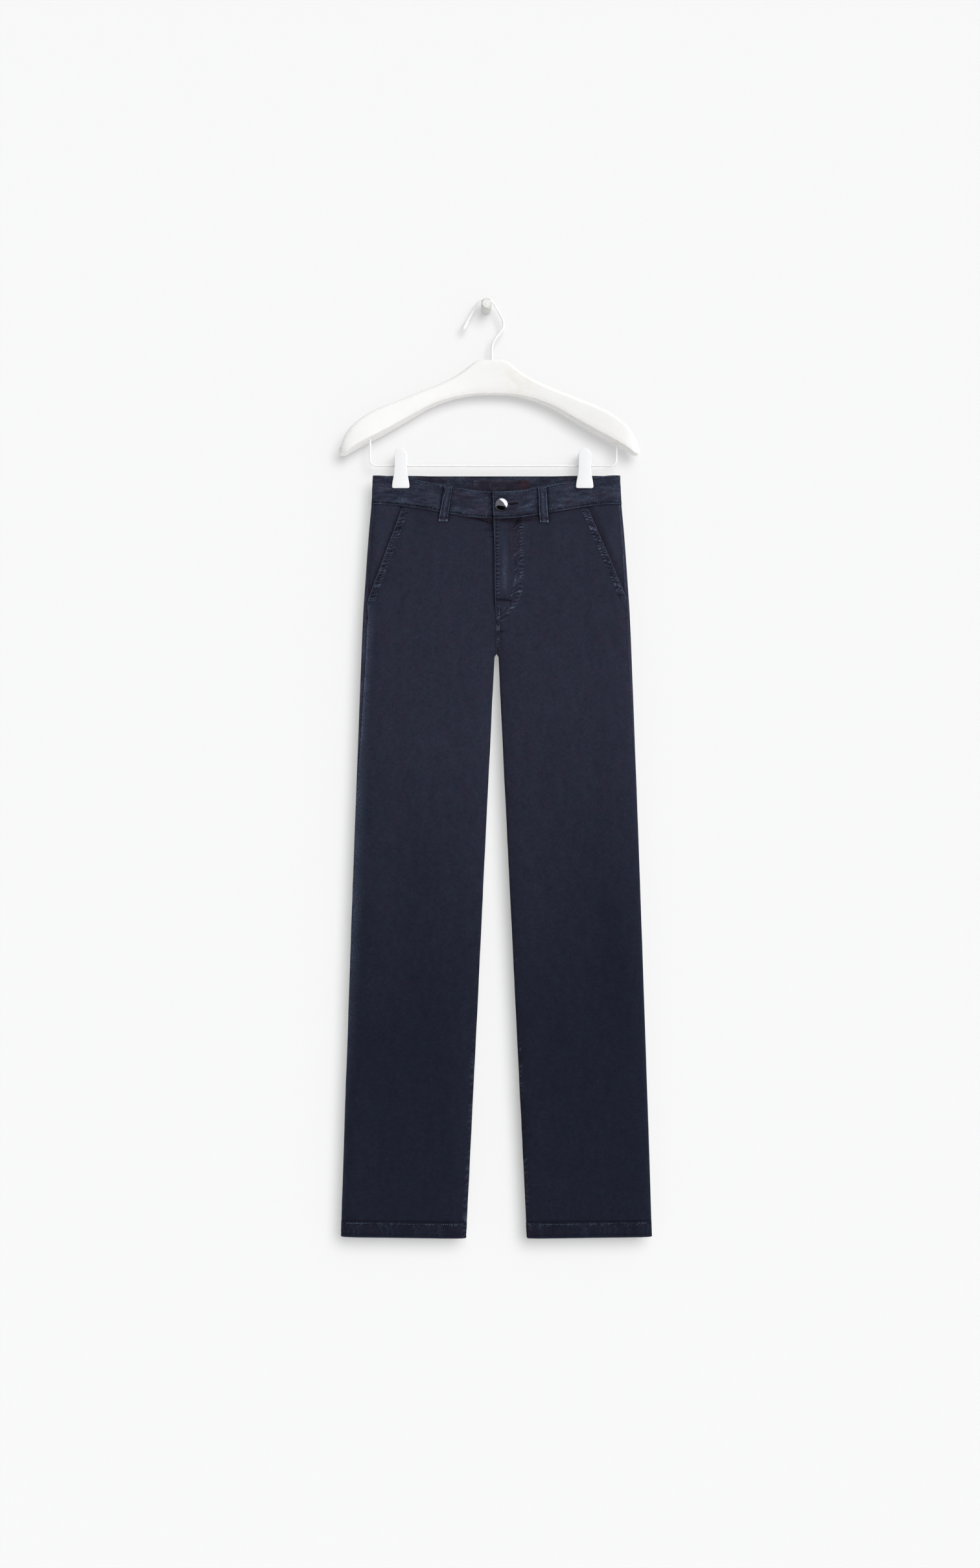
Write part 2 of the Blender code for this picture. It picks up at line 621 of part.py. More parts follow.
def arm_foot(x):
    """Height of an arm's underside at x."""
    q = (x - HANGER_X) / (SPAN_L if x > HANGER_X else SPAN_R)
    return HANGER_TOP - np.interp(abs(q), HANGER["share"], HANGER["bottom"])


cut(hanger, cylinder("hook_bore", HOOK_WIRE + 0.4, 26.0, (HANGER_X, HOOK_Y, HANGER_TOP), (0, 0, 1), cutters, steel))
for tag, x in (("r", BAR_R), ("l", BAR_L)):
    cut(hanger, cylinder(f"bar_bore_{tag}", BAR_WIRE + 0.4, 34.0, (x, MID_Y, arm_foot(x) - 6.0), (0, 0, 1), cutters, steel))

route = through([(x * MM, HOOK_Y * MM, z * MM) for x, z in HOOK], 3)
wire("hanger_hook", route, HOOK_WIRE, white("hanger_hook"))
tip = [Vector((x, HOOK_Y, z)) * MM for x, z in HOOK_TIP]
wire("hook_tip", tip, HOOK_TIP_R, white("hook_tip"))

corner = [k * math.pi / 12 for k in range(7)]
bar = [(BAR_R, arm_foot(BAR_R) + 9.0), *((BAR_R + BAR_CORNER * (1 - math.cos(a)), BAR_Z + BAR_CORNER * (1 - math.sin(a))) for a in corner)]
bar += [(BAR_L - BAR_CORNER * (1 - math.cos(a)), BAR_Z + BAR_CORNER * (1 - math.sin(a))) for a in reversed(corner)]
bar += [(BAR_L, arm_foot(BAR_L) + 9.0)]
wire("hanger_bar", [Vector((x, MID_Y, z)) * MM for x, z in bar], BAR_WIRE, white("hanger_bar"))


# ---------------------------------------------------------------- clips
def jaw(name, x, face):
    """A flat jaw, wider at its gripping edge and round at the top, leaning away from the cloth above it."""
    half = [(w, h) for h, w in JAW]
    crown = [(9.1 * math.cos(a), 48.8 + 9.1 * math.sin(a)) for a in (k * math.pi / 12 for k in range(1, 12))]
    outline = [*half, *crown, *((-w, h) for w, h in reversed(half))]
    curve = bpy.data.curves.new(name, "CURVE")
    curve.dimensions, curve.fill_mode = "2D", "BOTH"
    curve.extrude = JAW_HALF * MM
    spline = curve.splines.new("POLY")
    spline.points.add(len(outline) - 1)
    for point, (a, b) in zip(spline.points, outline):
        point.co = (a * MM, b * MM, 0.0, 1.0)
    spline.use_cyclic_u = True
    thing = add(name, curve, white(name))
    thing.location = Vector((x, MID_Y + face * (PINCH + 0.75 + JAW_HALF), CLIP_BOTTOM)) * MM
    thing.rotation_euler = (math.pi / 2 - face * CLIP_TILT, 0.0, 0.0)
    return thing


for tag, x in (("r", CLIP_R), ("l", CLIP_L)):
    jaw(f"clip_jaw_front_{tag}", x, -1)
    jaw(f"clip_jaw_back_{tag}", x, 1)
    barrel = cylinder(f"clip_barrel_{tag}", 4.4, 13.0, (x, MID_Y, BAR_Z), (1, 0, 0), parts, white(f"clip_barrel_{tag}"), 20)
    cut(barrel, cylinder(f"clip_bore_{tag}", BAR_WIRE + 0.35, 20.0, (x, MID_Y, BAR_Z), (1, 0, 0), cutters, steel))

# ---------------------------------------------------------------- wall peg
peg = turned(
    "wall_peg",
    ((0.0, PEG_LENGTH), (PEG_R - 1.4, PEG_LENGTH), (PEG_R - 0.4, PEG_LENGTH - 0.4), (PEG_R, PEG_LENGTH - 1.4), (PEG_R, 0.0), (0.0, 0.0)),
    32,
    finish_of("wall_peg_paint", (0.78, 0.78, 0.76), 0.55),
)
peg.rotation_euler = (math.pi / 2, 0.0, 0.0)
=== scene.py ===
"""Looks of the chino trousers on their clip hanger and wall peg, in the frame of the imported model.

The cloth is drawn again on the same form as the solids, as finer thin walls with their seams, folds and puckers.
Lengths are millimetres until surface() turns them into metres.
"""

import math

import bpy
import numpy as np
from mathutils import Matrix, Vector


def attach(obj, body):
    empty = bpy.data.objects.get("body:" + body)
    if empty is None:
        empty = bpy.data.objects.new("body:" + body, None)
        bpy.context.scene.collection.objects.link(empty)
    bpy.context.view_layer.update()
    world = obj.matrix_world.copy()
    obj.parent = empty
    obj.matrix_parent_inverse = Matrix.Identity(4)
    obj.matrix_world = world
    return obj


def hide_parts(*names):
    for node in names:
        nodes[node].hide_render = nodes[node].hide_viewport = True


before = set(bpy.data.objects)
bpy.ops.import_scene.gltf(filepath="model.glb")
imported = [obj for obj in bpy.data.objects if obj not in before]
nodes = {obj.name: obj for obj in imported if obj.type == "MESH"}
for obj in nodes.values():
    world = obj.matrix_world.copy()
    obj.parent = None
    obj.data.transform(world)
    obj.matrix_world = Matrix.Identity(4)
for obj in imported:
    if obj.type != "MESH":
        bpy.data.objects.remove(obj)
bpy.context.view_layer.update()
COARSE = 1.0
MM = 0.001

# ---------------------------------------------------------------- the form, as in the solids
WAIST_Z, CENTRE_X, MID_Y = -250.0, 14.5, -30.0
OUTSEAM, HEM_SLOPE, RISE, NOTCH, INSEAM_SPREAD = 1115.0, 2.4, 260.5, 2.7, 0.0488
CLOTH, BAND, FACING, LOOP, LAYER = 1.2, 2.4, 1.0, 1.6, 0.5
GAP = 0.1
BAND_SIDE, BAND_CENTRE, FRONT_DIP = 42.0, 39.0, 24.3
FORK_FRONT, FORK_BACK, DOME = 45.0, 75.0, 2.2
LOOP_WIDTH, LOOP_BELOW = 12.8, 13.0
BUTTON_X, BUTTON_DROP, BUTTON_R, HOLE_END = 7.25, 43.4, 9.8, 33.0
LABEL = (-34.0, 49.0, 6.0, 35.0)
PEG_R, PEG_LENGTH = 7.8, 46.0
HOOK_Y, HOOK_WIRE, HANGER_X, HANGER_TOP, SPAN_R, SPAN_L = -22.0, 1.8, 7.8, -79.2, 222.7, 215.0
BAR_Z, BAR_WIRE, BAR_CORNER, BAR_R, BAR_L = -235.5, 1.45, 9.5, -170.8, 190.3
CLIP_R, CLIP_L, CLIP_BOTTOM, CLIP_TILT = -125.6, 143.5, -268.8, math.radians(6.0)
PINCH, PINCH_RUN = 3.2, 34.0


def table(columns, rows):
    return dict(zip(columns, np.array(rows, float).T))


SHAPE = table(
    ("drop", "outer", "front", "back", "fold"),
    (
        (0.0, 181.3, 8.4, 8.0, 3.4),
        (42.0, 183.1, 9.4, 9.6, 3.2),
        (62.0, 184.9, 9.8, 10.6, 2.9),
        (81.0, 186.8, 10.0, 11.6, 2.6),
        (119.0, 189.7, 10.2, 13.0, 2.1),
        (157.0, 192.3, 10.2, 13.6, 1.9),
        (195.0, 195.0, 10.0, 13.2, 1.9),
        (233.0, 196.8, 9.7, 12.4, 1.9),
        (260.5, 197.9, 9.4, 11.8, 1.9),
        (340.0, 200.9, 9.0, 10.4, 1.9),
        (520.0, 207.7, 8.2, 8.8, 1.9),
        (760.0, 216.1, 7.6, 7.8, 1.9),
        (960.0, 222.9, 7.2, 7.4, 1.9),
        (1117.5, 227.9, 6.8, 7.0, 1.9),
    ),
)
FOLDS = table(
    ("face", "x", "drop", "width", "length", "height", "lean"),
    (
        (-1, -96.0, 520.0, 26.0, 230.0, 0.9, -0.02),
        (-1, -150.0, 700.0, 22.0, 260.0, -0.8, -0.03),
        (-1, 112.0, 600.0, 30.0, 240.0, 0.9, 0.03),
        (-1, 165.0, 860.0, 24.0, 220.0, -0.7, 0.03),
        (-1, -70.0, 900.0, 26.0, 170.0, 0.7, -0.03),
        (-1, 60.0, 330.0, 22.0, 120.0, -0.7, 0.02),
        (1, -92.0, 330.0, 30.0, 150.0, -1.0, -0.03),
        (1, 98.0, 360.0, 28.0, 170.0, -0.9, 0.03),
        (1, -130.0, 760.0, 28.0, 240.0, 0.8, -0.03),
        (1, 128.0, 720.0, 26.0, 260.0, 0.8, 0.03),
    ),
)
FLY = table(
    ("drop", "edge", "under", "sink"),
    (
        (0.0, -6.0, 7.0, 1.0),
        (25.0, -5.7, 7.0, 1.0),
        (64.0, -4.4, 7.0, 1.0),
        (120.0, -2.5, 7.0, 1.0),
        (160.0, -2.6, 7.0, 1.0),
        (176.0, -2.3, 0.0, 1.0),
        (196.0, -1.4, 0.0, 1.0),
        (216.0, 0.0, 0.0, 0.0),
        (1200.0, 0.0, 0.0, 0.0),
    ),
)
SIDE_SEAM = table(
    ("drop", "wrap"),
    ((0.0, 5.0), (80.0, 4.6), (178.0, 4.6), (206.0, 8.0), (260.0, 7.9), (325.0, 6.3), (381.0, 4.8), (437.0, 2.7), (490.0, 0.6), (510.0, 0.0), (1200.0, 0.0)),
)
POCKETS = {
    -1: {"top_x": 140.3, "top": 52.9, "end_x": 188.3, "end": 182.9},
    1: {"top_x": 136.5, "top": 53.4, "end_x": 190.4, "end": 179.5},
}
POCKET_UNDER = 20.0
LOOPS = {
    "belt_loop_front_r": (-1, -70.8, -78.2),
    "belt_loop_front_l": (-1, 67.4, 69.8),
    "belt_loop_back_r": (1, -98.0, -98.0),
    "belt_loop_back_centre": (1, 0.0, 0.0),
    "belt_loop_back_l": (1, 98.0, 98.0),
}
HANGER = table(
    ("share", "top", "bottom", "thick", "forward", "bevel"),
    (
        (0.00, 0.0, 50.6, 17.0, 0.0, 0.8),
        (0.07, 0.0, 50.9, 17.0, 0.1, 0.8),
        (0.105, 2.2, 51.3, 17.2, 0.2, 0.8),
        (0.145, 8.5, 52.3, 17.6, 0.3, 1.0),
        (0.19, 16.6, 54.0, 18.2, 0.5, 1.2),
        (0.25, 25.0, 57.3, 19.0, 0.8, 1.6),
        (0.335, 34.6, 63.5, 20.4, 1.5, 2.2),
        (0.42, 42.8, 71.8, 22.0, 2.3, 2.8),
        (0.50, 50.0, 82.2, 23.6, 3.2, 3.4),
        (0.60, 59.2, 95.6, 25.6, 4.5, 4.2),
        (0.68, 66.6, 106.2, 27.2, 5.7, 4.8),
        (0.75, 73.2, 115.0, 28.4, 6.8, 5.2),
        (0.82, 81.6, 123.2, 29.2, 8.0, 5.4),
        (0.88, 91.0, 130.6, 28.8, 9.1, 5.2),
        (0.935, 103.0, 137.6, 26.0, 10.2, 4.4),
        (0.97, 114.6, 141.6, 21.0, 10.9, 3.0),
        (0.99, 124.6, 141.6, 14.0, 11.3, 1.6),
        (1.00, 131.0, 138.6, 7.0, 11.5, 0.6),
    ),
)
HOOK = (
    (-28.0, -21.1),
    (-22.0, -10.2),
    (-15.6, 1.6),
    (-9.6, 8.3),
    (-2.0, 10.4),
    (5.2, 8.7),
    (11.6, 2.7),
    (17.2, -7.0),
    (22.4, -16.8),
    (24.8, -24.9),
    (23.6, -32.6),
    (18.2, -40.4),
    (11.4, -49.4),
    (8.4, -57.4),
    (HANGER_X, -66.8),
    (HANGER_X, -79.2),
    (HANGER_X, -90.5),
)
HOOK_TIP = ((-34.6, -33.2), (-28.2, -21.45))
HOOK_TIP_R = 2.8
JAW = ((0.0, 10.6), (0.7, 12.1), (2.2, 12.8), (8.0, 12.3), (15.0, 10.9), (22.0, 9.6), (30.0, 9.1), (48.8, 9.1))


def soft(t):
    t = np.clip(t, 0.0, 1.0)
    return t * t * (3.0 - 2.0 * t)


def read(source, column, drop):
    return sum(np.interp(drop + o, source["drop"], source[column]) for o in (-8.0, -4.0, 0.0, 4.0, 8.0)) / 5.0


def inner_edge(drop):
    below = drop - RISE
    return 0.5 * GAP + soft(below / 6.0) * (NOTCH + INSEAM_SPREAD * np.maximum(below, 0.0))


def fork(drop, face):
    run = np.where(face < 0, FORK_FRONT, FORK_BACK)
    q = np.clip((drop - (RISE - run)) / run, 0.0, 1.0)
    return np.sqrt(1.0 - q * q)


def filled(q):
    return 1.0 - (1.0 - np.minimum(q, 1.0)) ** DOME


def pinch(x, drop):
    hold = 1.0 - soft((drop - 26.0) / 120.0)
    left = np.ones_like(x)
    for clip in (CLIP_R, CLIP_L):
        near = np.exp(-(((x - (clip - CENTRE_X)) / PINCH_RUN) ** 4))
        left = left * (1.0 - (1.0 - PINCH / 8.6) * near * hold)
    return left


def depth_squared(x, drop, face):
    depth = np.where(face < 0, read(SHAPE, "front", drop), read(SHAPE, "back", drop))
    run = 0.5 * DOME * depth**2 / read(SHAPE, "fold", drop)
    c = fork(drop, face) ** 2
    lift = np.ones_like(x)
    for i in range(len(FOLDS["x"])):
        along = drop - FOLDS["drop"][i]
        across = x - FOLDS["x"][i] - FOLDS["lean"][i] * along
        height = FOLDS["height"][i] * np.exp(-((across / FOLDS["width"][i]) ** 2) - (along / FOLDS["length"][i]) ** 2)
        lift = lift + np.where(face == FOLDS["face"][i], height, 0.0) / depth
    side = filled((read(SHAPE, "outer", drop) - np.abs(x)) / run)
    legs = c + (1.0 - c) * filled((np.abs(x) - inner_edge(drop)) / run)
    return side * legs * (depth * lift * pinch(x, drop)) ** 2


def surface(x, drop, face, out=0.0):
    x, drop, face, out = (np.array(a, float) for a in np.broadcast_arrays(x, drop, face, out))
    h = 0.2
    s = np.maximum(depth_squared(x, drop, face), 0.0)
    sx = (depth_squared(x + h, drop, face) - depth_squared(x - h, drop, face)) / (2 * h)
    sd = (depth_squared(x, drop + h, face) - depth_squared(x, drop - h, face)) / (2 * h)
    y = face * np.sqrt(s)
    n = np.stack([-sx, 2 * y, sd], -1)
    n /= np.maximum(np.linalg.norm(n, axis=-1, keepdims=True), 1e-9)
    p = np.stack([x + CENTRE_X, y + MID_Y, WAIST_Z - drop], -1)
    return (p + n * out[..., None]) * MM


def fold_x(along, drop, radius):
    return np.sqrt(radius**2 + along**2) - radius


def along_fold(inside, radius):
    return np.sqrt((np.maximum(inside, 0.0) + radius) ** 2 - radius**2)


def half_girths(drop, face, inner):
    outer, fold = read(SHAPE, "outer", drop), read(SHAPE, "fold", drop)
    half = 0.5 * (outer - inner)
    inner_fold = fold * (1.0 - fork(drop, face)) + 1e-6
    return outer, fold, inner_fold, along_fold(half, fold), along_fold(half, inner_fold)


def panel_x(share, start, drop, face, inner, keep):
    outer, fold, inner_fold, a, b = half_girths(drop, face, inner)
    at = start + share * (a + b - keep - start)
    from_outer = outer - fold_x(np.minimum(np.abs(at), a), drop, fold)
    from_inner = inner + fold_x(np.clip(a + b - at, 0.0, b), drop, inner_fold)
    return np.where(at <= a, from_outer, from_inner), at


def waist_edge(x, face):
    dip = FRONT_DIP * 0.5 * (1.0 + np.cos(np.pi * np.clip(np.abs(x) / SHAPE["outer"][0], 0.0, 1.0)))
    return np.where(face < 0, dip, 0.0)


def band_seam(x, face):
    share = np.clip(np.abs(x) / SHAPE["outer"][0], 0.0, 1.0)
    front = waist_edge(x, face) + BAND_CENTRE + (BAND_SIDE - BAND_CENTRE) * share
    return np.where(face < 0, front, BAND_SIDE)


def pocket_mouth(side, drop):
    p = POCKETS[side]
    return p["top_x"] + (p["end_x"] - p["top_x"]) * (drop - p["top"]) / (p["end"] - p["top"])


# ---------------------------------------------------------------- uneven patterns
def ragged(s, pitch, seed):
    """Smooth uneven wave along a seam, about one knot a pitch, from -1 to 1."""
    knots = np.random.default_rng(seed).uniform(-1.0, 1.0, 1024)
    at = np.asarray(s, float) / pitch + 400.0
    k = np.floor(at).astype(int)
    t = soft(at - k)
    return knots[k % 1024] * (1.0 - t) + knots[(k + 1) % 1024] * t


def puckers(s, pitch, seed, even=0.0):
    """Puckers along a seam, 1 on a ridge: fairly even, but drifting in spacing and height."""
    phase = s / pitch + 1.1 * (1.0 - 0.75 * even) * ragged(s, 2.3 * pitch, seed)
    tall = 0.56 + 0.30 * even + (0.44 - 0.30 * even) * ragged(s, 1.3 * pitch, seed + 1)
    return (0.5 + 0.5 * np.cos(2.0 * np.pi * phase)) * tall


def cloud(x, z, wide, long, seed):
    """Soft uneven patches of about wide by long, from -1 to 1."""
    lattice = np.random.default_rng(seed).uniform(-1.0, 1.0, (128, 128))
    u, v = np.asarray(x, float) / wide + 50.3, np.asarray(z, float) / long + 17.6
    i, j = np.floor(u).astype(int), np.floor(v).astype(int)
    f, g = soft(u - i), soft(v - j)
    i, j, m, k = i % 128, j % 128, (i + 1) % 128, (j + 1) % 128
    low = lattice[i, j] * (1 - f) + lattice[m, j] * f
    high = lattice[i, k] * (1 - f) + lattice[m, k] * f
    return low * (1 - g) + high * g


def ridge(d, at, wide):
    return np.exp(-(((d - at) / wide) ** 2))


def window(v, low, high, edge):
    return soft((v - low) / edge) * soft((high - v) / edge)


# Creases and pulls: face, from (x, drop) to (x, drop), sideways bow, half width, height.
CREASES = (
    (-1, -64.0, 56.0, -4.0, 71.0, 2.0, 3.4, 0.75),
    (-1, -40.0, 64.0, -4.0, 76.0, 1.5, 3.4, -0.75),
    (-1, -30.0, 76.0, -5.0, 84.0, 0.0, 3.6, 0.35),
    (-1, -3.0, 68.0, 62.0, 66.0, -2.0, 3.2, -0.55),
    (-1, 4.0, 74.0, 52.0, 71.0, -1.0, 3.0, 0.30),
    (-1, -8.0, 78.0, -8.0, 150.0, 0.0, 4.5, -0.35),
    (-1, -3.0, 182.0, 28.0, 181.0, 1.2, 1.7, -0.65),
    (-1, -3.0, 178.0, 24.0, 177.0, 1.0, 1.8, 0.45),
    (-1, 3.0, 190.0, 30.0, 183.0, 0.0, 2.6, 0.40),
    (-1, 4.0, 204.0, 22.0, 196.0, 0.0, 2.2, -0.30),
    (-1, 6.0, 232.0, 18.0, 226.0, 0.0, 2.2, -0.35),
    (-1, 146.0, 205.0, 182.0, 296.0, 5.0, 9.0, -0.90),
    (-1, 128.0, 190.0, 170.0, 300.0, 4.0, 9.0, 0.45),
    (-1, 120.0, 150.0, 132.0, 250.0, 3.0, 10.0, -0.50),
    (-1, 88.0, 110.0, 92.0, 220.0, 3.0, 12.0, 0.35),
    (-1, -118.0, 96.0, -128.0, 250.0, -4.0, 12.0, 0.45),
    (-1, -140.0, 150.0, -148.0, 300.0, -4.0, 10.0, -0.45),
    (-1, -160.0, 330.0, -150.0, 430.0, 3.0, 14.0, -0.60),
    (-1, -95.0, 320.0, -75.0, 400.0, 3.0, 15.0, -0.55),
    (-1, -128.0, 380.0, -112.0, 520.0, 3.0, 14.0, 0.50),
    (-1, -60.0, 560.0, -74.0, 720.0, 3.0, 14.0, -0.50),
    (-1, -188.0, 700.0, -172.0, 800.0, 0.0, 8.0, -0.50),
    (-1, -160.0, 620.0, -150.0, 800.0, 4.0, 12.0, 0.45),
    (-1, -186.0, 880.0, -166.0, 760.0, 2.0, 9.0, -0.55),
    (-1, -150.0, 850.0, -128.0, 1020.0, 3.0, 14.0, 0.50),
    (-1, -196.0, 1010.0, -170.0, 950.0, 2.0, 8.0, 0.50),
    (-1, 128.0, 330.0, 146.0, 470.0, 4.0, 14.0, -0.55),
    (-1, 80.0, 420.0, 96.0, 600.0, 3.0, 16.0, 0.45),
    (-1, 140.0, 560.0, 160.0, 700.0, 3.0, 14.0, -0.50),
    (-1, 168.0, 770.0, 202.0, 835.0, 2.0, 8.0, -0.65),
    (-1, 176.0, 750.0, 206.0, 812.0, 2.0, 7.0, 0.40),
    (-1, 110.0, 830.0, 128.0, 1000.0, 3.0, 15.0, -0.45),
    (-1, 170.0, 880.0, 178.0, 1040.0, 3.0, 14.0, 0.50),
    (-1, 66.0, 850.0, 74.0, 1010.0, 2.0, 9.0, -0.40),
    (1, -20.0, 46.0, -86.0, 66.0, 2.0, 5.0, 0.60),
    (1, 24.0, 48.0, 92.0, 70.0, 2.0, 5.0, 0.55),
    (1, -6.0, 120.0, -58.0, 176.0, 4.0, 8.0, -0.60),
    (1, 8.0, 150.0, 66.0, 204.0, 4.0, 8.0, -0.60),
    (1, -12.0, 236.0, -74.0, 290.0, 4.0, 7.0, 0.70),
    (1, 12.0, 240.0, 70.0, 282.0, 4.0, 7.0, 0.70),
    (1, -16.0, 262.0, -96.0, 316.0, 4.0, 8.0, -0.60),
    (1, 16.0, 258.0, 92.0, 320.0, 4.0, 8.0, -0.60),
    (1, -110.0, 180.0, -124.0, 330.0, 5.0, 14.0, 0.60),
    (1, 118.0, 190.0, 126.0, 340.0, 5.0, 14.0, 0.60),
    (1, -86.0, 470.0, -104.0, 640.0, 4.0, 15.0, -0.55),
    (1, 92.0, 500.0, 110.0, 660.0, 4.0, 15.0, -0.55),
    (1, -170.0, 560.0, -120.0, 620.0, 4.0, 8.0, 0.50),
    (1, 178.0, 580.0, 120.0, 640.0, 4.0, 8.0, 0.50),
    (1, -150.0, 860.0, -138.0, 1010.0, 4.0, 14.0, 0.50),
    (1, 150.0, 840.0, 140.0, 1000.0, 4.0, 14.0, 0.50),
)


def stroke(x, drop, x0, d0, x1, d1, bow, wide, ends=0.34):
    """A soft line from one point to another, 1 along its middle."""
    run = math.hypot(x1 - x0, d1 - d0)
    ax, ad = (x1 - x0) / run, (d1 - d0) / run
    t = ((x - x0) * ax + (drop - d0) * ad) / run
    off = (x - x0) * ad - (drop - d0) * ax - 4.0 * bow * t * (1.0 - t)
    return ridge(off, 0.0, wide) * window(t, -0.08, 1.08, ends)


def creased(x, drop, face):
    total = np.zeros(np.broadcast(x, drop, face).shape)
    for side, x0, d0, x1, d1, bow, wide, high in CREASES:
        total = total + np.where(face == side, high * stroke(x, drop, x0, d0, x1, d1, bow, wide), 0.0)
    return total


def draped(x, drop, face):
    """What the whole cloth does, folds and soft unevenness alike, and the same on the inside."""
    calm = soft((drop - 70.0) / 120.0)
    return creased(x, drop, face) + calm * (0.26 * cloud(x, drop, 21.0, 62.0, 5) + 0.16 * cloud(x, drop, 9.0, 17.0, 6))


# ---------------------------------------------------------------- what each sewn piece adds
class Marks:
    """Height in mm over the form; how much the cloth is rubbed paler or given painted highlight, how much painted shade
    or darker mottling it has, and how reddish it is.
    """

    def __init__(self, like):
        self.out, self.wear, self.dark, self.red = (np.zeros_like(like) for _ in range(4))

    def rope(self, s, d, env, pitch, high, seed, slope=0.0, wear=0.6, dark=0.5, red=0.0, even=0.0):
        """Ropey puckers across a seam, rubbed pale on the ridges, with painted shade between them."""
        wander = (1.0 - even) * (0.9 * ragged(d, 2.2, seed + 5) + 0.4 * pitch * cloud(s, d, 1.5 * pitch, 2.6, seed + 11))
        p = puckers(s + slope * d + wander, pitch, seed, even)
        self.out += env * (p - 0.35) * high
        spots = 0.5 + 0.5 * cloud(s, d, 1.7, 1.5, seed + 7)
        self.wear += env * wear * np.clip(p * 1.5 - 0.35, 0.0, 1.0) * (0.35 + 0.85 * spots)
        self.dark += env * dark * np.clip(0.75 - 1.5 * p, 0.0, 1.0)
        self.red += env * red * np.clip(cloud(s, d, 5.0, 2.5, seed + 9), 0.0, 1.0)

    def row(self, d, at, deep=0.22, wide=0.75):
        """The groove that a row of stitching pulls, with painted shade along it."""
        g = ridge(d, at, wide)
        self.out -= deep * g
        self.dark += 0.35 * g


def hem_drop(x):
    """Drop of the hem: lower at the inseam than at the outer fold."""
    inner = NOTCH + INSEAM_SPREAD * (OUTSEAM - RISE)
    return OUTSEAM + HEM_SLOPE * np.clip((227.0 - np.abs(x)) / (227.0 - inner), 0.0, 1.0)


def corner(x, drop):
    """How much the hem's rounded corners take off the drop."""
    from_edge = np.minimum(read(SHAPE, "outer", drop) - np.abs(x), np.abs(x) - inner_edge(drop))
    q = np.clip((2.6 - from_edge) / 2.6, 0.0, 1.0)
    return 1.9 * (1.0 - np.sqrt(1.0 - q * q)) * soft((drop - (OUTSEAM - 9.0)) / 8.0)


def hem_marks(m, x, drop, seed):
    d = hem_drop(x) - drop
    m.out += 0.34 * soft((23.4 - d) / 1.6) - 0.25 * ridge(d, 24.4, 1.3)
    # Painted shade along the hem's fold line.
    m.dark += 0.8 * ridge(d, 24.2, 0.95)
    m.rope(x, d, window(d, 1.5, 23.0, 2.5), 7.4, 0.42, seed, slope=0.10, wear=0.07, dark=0.30, red=0.20)
    m.rope(x, d, window(d, 16.5, 23.4, 2.6), 3.9, 0.30, seed + 20, wear=0.30, dark=0.36)
    m.row(d, 20.4, 0.25, 0.8)
    m.row(d, 4.6, 0.16, 1.0)
    m.out += 0.2 * ridge(d, 0.8, 1.6)
    m.wear += 0.12 * ridge(d, 0.4, 0.8)


def inseam_marks(m, x, drop, seed):
    d = np.abs(x) - inner_edge(drop)
    low = soft((drop - 790.0) / 70.0)
    env = soft(d / 0.8) * soft((7.5 - d) / 4.0) * (0.22 + 0.78 * low) * soft((drop - RISE - 12.0) / 30.0)
    m.rope(drop, d, env, 8.2, 0.44, seed, slope=0.25, wear=0.24, dark=0.30, red=0.25)
    m.out += 0.25 * ridge(d, 3.0, 2.4) * soft((drop - RISE - 12.0) / 40.0)
    # Painted shade along the inseam.
    m.dark += 0.30 * ridge(d, 0.4, 0.8)


def shade_beside_loops(signed, drop):
    """Painted shade on the cloth along both sides of the front belt loops."""
    shade = np.zeros(np.broadcast(signed, drop).shape)
    for name in ("belt_loop_front_r", "belt_loop_front_l"):
        _, x_top, x_end = LOOPS[name]
        top = waist_edge(np.array(x_top), -1)
        v = (drop - top) / (band_seam(np.array(x_top), -1) + LOOP_BELOW - top)
        away = np.abs(signed - x_top - (x_end - x_top) * v) - 0.5 * LOOP_WIDTH
        shade = np.maximum(shade, (0.75 * ridge(away, 0.2, 0.9) + 0.30 * ridge(away, 1.5, 2.0)) * window(v, -0.02, 1.02, 0.06))
    return shade


